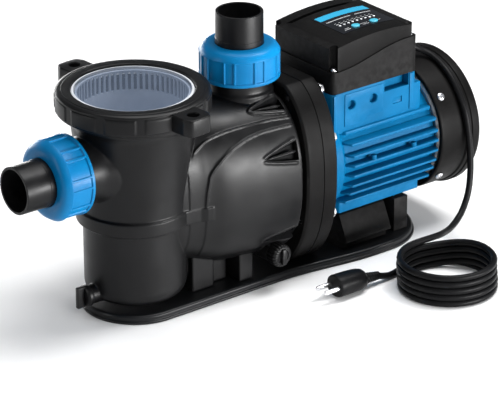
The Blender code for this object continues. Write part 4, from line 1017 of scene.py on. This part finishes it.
def make_fasteners():
    for number, spot in enumerate(BOLT_PLACES, 1):
        seat = (BRACKET_REAR + GAP, *bolt_point(spot)[1:])
        hex_bolt(f"flange_bolt_{number}", f"bracket_bolt_{number}", seat, (1, 0, 0), 39)
    for number, angle in enumerate(COWL_ANGLES, 1):
        radial = around_motor(angle)
        origin = Vector((COWL_SCREW_X, 0, MOTOR_Z)) + radial * 73.9
        pan_screw(f"cowl_pan_screw_{number}", f"cowl_screw_{number}", origin, radial, 4.6, 2.9, 1.9, 7.4)
    for number, (x, y) in enumerate(FOOT_SCREW_PLACES, 1):
        pan_screw(f"foot_pan_screw_{number}", f"foot_screw_{number}", (x, y, 16.3), (0, 0, 1), 4.8, 4.2,
            1.9, 13.2)
    for number, (x, y) in enumerate(CORNER_SCREWS, 1):
        start = seam_height(x) + GAP
        pan_screw(f"lid_screw_{number}", f"controller_screw_{number}", (x, y, start), (0, 0, 1), 3.7, 2.8,
            1.6, 12.5)


# ---- motor ----

def fin_outline(half, rear=FIN_REAR):
    edge = [(FIN_FRONT, half - 9), (FIN_FRONT + 4.5, half), (rear - 2, half), (rear, half - 3)]
    return [(x, -y) for x, y in edge] + edge[::-1]


def make_housing():
    core = rounded([(0, 208.4), (66.6, 208.4, 0.6), (66.6, 214.2, 0.8), (64.2, 215.6, 0.5), (64.2, 227, 1),
        (60, 231.5, 1), (60, 355), (0, 355)])
    housing = solid("motor_casing", turned(core, "X", MOTOR_AXIS, 160, shift=0.5), "blue_paint")
    for height in FIN_HEIGHTS:
        half = math.sqrt(FIN_RADIUS ** 2 - height ** 2)
        z = MOTOR_Z + height
        carve(housing, prism(fin_outline(half), "Z", z - 1.3, z + 1.3, 0.45), "UNION")
    carve(housing, prism(fin_outline(46, rear=347), "Z", 49.7, 63.6, 0.7), "UNION")
    carve(housing, prism(fin_outline(55.5), "Z", 142.4, 146.2, 0.6), "UNION")
    carve(housing, block((BOX_X[0], -52, 144), (333, 52, 190.5), 1.2), "UNION")
    carve(housing, block((330, -52, 143), (341, 52, 177), 0.9), "UNION")
    for side in (-1, 1):
        low, high = sorted((side * 50, side * 52.9))
        plate = rounded([(236, 151), (262, 151, 1), (268, 156, 1), (288.4, 156, 1), (288.4, 187.4, 1.5),
            (236, 187.4, 1.5)], 1, closed=True)
        carve(housing, prism(plate, "Y", low, high, 0.35), "UNION")
        carve(housing, beside(side, (219.6, 51.4, 147), (223.6, 54.7, 190.2), 0.7), "UNION")
        carve(housing, beside(side, (325, 49, 149), (330, 53.2, 189.8), 0.6), "UNION")
        carve(housing, beside(side, (290.5, 42, 177.2), (324, 60, 200), 0))
        carve(housing, beside(side, (303, 50.6, 160), (315, 60, 167), 0.6))
        for x in (245, 275):
            hole = turned(rounded([(0, 47), (4.6, 47, 0.6), (5, 52), (6, 53.2), (6, 62), (0, 62)]), "Y",
                (x, 0, 174), 40)
            if side < 0:
                bmesh.ops.scale(hole, vec=(1, -1, 1), verts=hole.verts)
            carve(housing, hole)
        z = MOTOR_Z + 2
        for x in (264, 319.5):
            stud = rounded([(0, z), (3.3, z, 0.5), (3.3, z + 6.4, 0.8), (0, z + 6.6)])
            carve(housing, turned(stud, "Z", (x, side * 67.2, 0), 32), "UNION")
    carve(housing, block((232, -40, 171), (320, 40, 200), 0))
    inside = turned([(0, 200), (17.4, 200), (17.4, 226), (56, 226), (56, 380), (0, 380)], "X", MOTOR_AXIS, 96)
    carve(housing, inside)
    place(housing, "root", "blue_paint", "motor_housing", angle=32)


def make_cowl():
    outside = rounded([(70.6, 355, 0.3), (72.6, 355, 0.8), (73.6, 357, 0.8), (73.8, 376),
        (73.6, 389.6, 0.8), (75.4, 391, 0.6), (75.6, 395.2, 0.4), (77, 396, 0.6), (77, 404.2, 1.6),
        (75, 407.2, 1.4), (71.6, 408, 0.8), (70, 406.6, 1), (66, 406), (0, 406)])
    cowl = solid("fan_cover", turned(outside + [(0, 355)], "X", MOTOR_AXIS, 192, shift=0.5), "matte_black")
    inside = [(0, 350), (70.6, 350), (70.6, 389), (73.2, 397), (73.2, 402.4), (71, 403.6), (0, 403.6)]
    carve(cowl, turned(inside, "X", MOTOR_AXIS, 192))
    slots = []
    for row in range(-5, 6):
        half = math.sqrt(GRILLE_RADIUS ** 2 - (row * GRILLE_PITCH) ** 2)
        z = MOTOR_Z + row * GRILLE_PITCH
        for side in (-1, 1):
            inner, outer = sorted((side * 2.2, side * half))
            slot = rounded_rectangle((inner, z - 2.3), (outer, z + 2.3), 2.2, 5)
            slots.append(prism(slot, "X", 400, 420))
    carve(cowl, gather(slots))
    for angle in COWL_ANGLES:
        where = pose_to((COWL_SCREW_X, 0, MOTOR_Z), around_motor(angle))
        carve(cowl, moved(pipe("Z", (0, 0, 0), 2.4, 60, 90, 20), where))
    place(cowl, "root", "body_plastic", "fan_cowl", angle=36)


def make_motor_foot():
    section = [(-50, ON_BASE, 0.5), (50, ON_BASE, 0.5), (50, 17.5), (58, 18.5, 0.8), (58, 21, 1.2),
        (45, 47.5, 1.2), (28, 47.5)]
    section += [(28, 40), (-28, 40), (-28, 47.5), (-45, 47.5, 1.2), (-58, 21, 1.2), (-58, 18.5, 0.8),
        (-50, 17.5)]
    foot = solid("motor_cradle", prism(rounded(section, closed=True, steps=3), "X", 236, 298, 0.7),
        "matte_black")
    carve(foot, block((290, -34, ON_BASE), (330, 34, 14), 0.8), "UNION")
    carve(foot, block((309, -50, ON_BASE), (328, 50, 47.5), 1), "UNION")
    carve(foot, pipe("X", MOTOR_AXIS, 64.4, 200, 380, 128))
    for x, y in FOOT_SCREW_PLACES:
        carve(foot, pipe("Z", (x, y, 0), 5.6, 16, 60, 32))
        carve(foot, pipe("Z", (x, y, 0), 2.2, 0, 60, 24))
    place(foot, "root", "base_plastic", "motor_foot", angle=34)


# ---- controller ----

def seam_height(x):
    return 215 + 16 * ease((x - BOX_X[0] - 8) / (BOX_X[1] - BOX_X[0] - 22))


def lid_top(x):
    position = (x - BOX_X[0] - 2) / (BOX_X[1] - BOX_X[0] - 11)
    return 240.3 + 4.3 * position + 18 * position * (1 - position)


def wavy_box(low, high, radius, bottom, top, edge=0, steps=3):
    """Box with rounded upright edges whose bottom and top are functions of x."""
    corner = [(radius * (1 - c), radius * (1 - s)) for c, s in arc((0, 0), 1, 0, 90, 8)]
    stations = [(low[0] + x, y) for x, y in corner]
    inner = high[0] - low[0] - 2 * radius
    stations += [(low[0] + radius + inner * k / 48, 0) for k in range(1, 48)]
    stations += [(high[0] - x, y) for x, y in reversed(corner)]
    sections = []
    for x, inset in stations:
        sections.append([(x, low[1] + inset, bottom(x)), (x, high[1] - inset, bottom(x)),
            (x, high[1] - inset, top(x)), (x, low[1] + inset, top(x))])
    bm = lofted(sections)
    return soften(bm, edge, steps, 50) if edge else bm


def make_controller():
    low, high = (BOX_X[0], -BOX_HALF_Y), (BOX_X[1], BOX_HALF_Y)
    tray = solid("controller_tray", wavy_box(low, high, 5, lambda x: BOX_BOTTOM, seam_height, 0.7),
        "matte_black")
    carve(tray, wavy_box((low[0] + 3, low[1] + 3), (high[0] - 3, high[1] - 3), 3, lambda x: BOX_BOTTOM + 3,
        lambda x: 260))
    for x, y in CORNER_SCREWS:
        carve(tray, pipe("Z", (x, y, 0), 5.4, BOX_BOTTOM + 1, seam_height(x) - 0.2), "UNION")
        carve(tray, pipe("Z", (x, y, 0), 1.9, BOX_BOTTOM + 10, 260))
    carve(tray, pipe("X", GLAND_AXIS, 5.2, 328, 340))
    place(tray, "root", "controller_plastic", "controller_base", angle=34)

    lid = wavy_box((low[0] + 1.4, low[1] + 1.2), (high[0] - 1.4, high[1] - 1.2), 4,
        lambda x: seam_height(x) + GAP, lid_top, 1.5, 4)
    lid = solid("controller_cover", lid, "matte_black")
    carve(lid, wavy_box((low[0] + 4.4, low[1] + 4.2), (high[0] - 4.4, high[1] - 4.2), 2.5, lambda x: 200,
        lambda x: lid_top(x) - 5.2))
    for x, y in CORNER_SCREWS:
        toward = 1 if x < BOX_MIDDLE else -1
        inward = 1 if y < 0 else -1
        lining = rounded([(x - toward * 3, y - inward * 3), (x + toward * 7.4, y - inward * 3),
            (x + toward * 7.4, y + inward * 7.4, 3), (x - toward * 3, y + inward * 7.4)], closed=True)
        carve(lid, prism(lining, "Z", seam_height(x) + 1.2, lid_top(x) - 1), "UNION")
    for x, y in CORNER_SCREWS:
        diagonal = math.copysign(45 if x > BOX_MIDDLE else 135, y)
        channel = prism(arc((0, 0), 4.6, 90, 270, 17) + [(16, -4.6), (16, 4.6)], "Z", 200, 262)
        turn = Matrix.Rotation(math.radians(diagonal), 4, "Z")
        carve(lid, moved(channel, Matrix.Translation((x, y, 0)) @ turn))
    recess = [(PANEL_LOW[0] - GAP, PANEL_LOW[1] - GAP), (PANEL_HIGH[0] + GAP, PANEL_HIGH[1] + GAP)]
    carve(lid, arched(*recess, -1.3, 9))
    groove = []
    for k in range(25):
        x = 229 + 88 * k / 24
        depth = 3.4 * ease(k / 3) * ease((24 - k) / 3)
        top = lid_top(x)
        groove.append([(x, 31.5, top + 4), (x, 33.4, top - depth), (x, 37.6, top - depth),
            (x, 38.4, top + 4)])
    carve(lid, lofted(groove))
    for x, y in BUTTON_PLACES:
        carve(lid, pipe("Z", (x, y, 0), 2.6, 225, 262))
    place(lid, "root", "controller_plastic", "controller_lid", angle=34)


def arched(low, high, bottom, top, count=24):
    """Rectangle in plan that follows the arch of the lid, between two heights over it."""
    sides = [(low[1], bottom), (high[1], bottom), (high[1], top), (low[1], top)]
    stations = [low[0] + (high[0] - low[0]) * k / count for k in range(count + 1)]
    return lofted([[(x, y, lid_top(x) + z) for y, z in sides] for x in stations])


def printed(x, y, width, height, count=2):
    """Dash of ink on the panel."""
    return arched((x, y), (x + width, y + height), 0.28, 0.40, count)


def make_panel():
    panel = solid("control_film", arched(PANEL_LOW, PANEL_HIGH, -1, 0.3), "film")
    for x, y in BUTTON_PLACES:
        hole = pipe("Z", (x, y, 0), 1, 230, 262, 40)
        bmesh.ops.scale(hole, vec=(5.3, 4.3, 1), verts=hole.verts, space=Matrix.Translation((-x, -y, 0)))
        carve(panel, hole)
    place(panel, "root", "panel_film", "control_panel", angle=34)
    stripe = solid("control_stripe", arched((253.5, 9.5), (320, 20.3), 0.28, 0.45), "stripe")
    place(stripe, "root", "panel_film")
    lamps = []
    for k in range(9):
        x = 261.5 + 5.8 * k
        z = lid_top(x)
        profile = rounded([(0, z + 0.2), (1.35, z + 0.2), (1.35, z + 0.55, 0.2), (0.8, z + 0.95, 0.3),
            (0, z + 1)])
        lamps.append(turned(profile, "Z", (x, -12.6, 0), 20))
    place(solid("status_lamps", gather(lamps), "lamp"), "root", "panel_film")
    marks = []
    for k in range(9):
        x = 259.8 + 5.8 * k
        marks += [printed(x, -8.6, 3.4, 0.8), printed(x, -5.6, 2.2, 0.7)]
    for x, y in BUTTON_PLACES:
        marks += [printed(x - 15.5, y - 1.8, 8, 0.8), printed(x - 14, y + 1, 6, 0.7),
            printed(x + 7, y + 0.6, 3, 0.8)]
    marks += [printed(256, 2.2, 32, 1.2, 8), printed(294, 2.2, 22, 1.2, 8)]
    place(solid("panel_marks", gather(marks), "print"), "root", "panel_film")
    for name, (x, y) in zip(("mode_button", "timer_button"), BUTTON_PLACES):
        rim = lid_top(x)
        cap = turned(rounded([(0, rim + 0.15), (1, rim + 0.15), (1, rim + 1.4, 0.1),
            (0.86, rim + 1.8, 0.08), (0, rim + 1.9)]), "Z", (0, 0, 0), 48)
        bmesh.ops.scale(cap, vec=(4.9, 3.9, 1), verts=cap.verts)
        bmesh.ops.translate(cap, vec=(x, y, 0), verts=cap.verts)
        key = carve(solid(f"{name}_cap", cap, "button"), pipe("Z", (x, y, 0), 2.1, 228, rim), "UNION")
        place(key, name, "button_plastic", name, angle=40)


# ---- CAD nodes that stay ----

CARRIED = {
    "motor_shaft": "steel", "rotor_core": "steel", "impeller": "black", "rotating_seal": "ceramic",
    "cooling_fan": "black", "stationary_seal": "ceramic", "diffuser": "black", "stator": "winding",
    "front_bearing": "steel", "rear_bearing": "steel", "rear_end_shield": "alloy", "circuit_board": "board",
    "capacitor": "matte_black", "lid_oring": "rubber", "suction_oring": "rubber", "discharge_oring": "rubber",
}


def dress_nodes():
    for name, look in CARRIED.items():
        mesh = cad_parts[name].data
        mesh.materials.clear()
        mesh.materials.append(finish(look))


def main():
    make_camera()
    make_cord()
    make_studio()
    make_base()
    make_pump_body()
    make_union("suction", "X", SUCTION_AXIS, SUCTION_END)
    make_union("discharge", "Z", DISCHARGE_AXIS, DISCHARGE_END)
    make_lid_ring()
    make_lid()
    make_basket()
    make_drain_plugs()
    make_bracket()
    make_housing()
    make_cowl()
    make_motor_foot()
    make_controller()
    make_panel()
    make_fasteners()
    dress_nodes()


main()
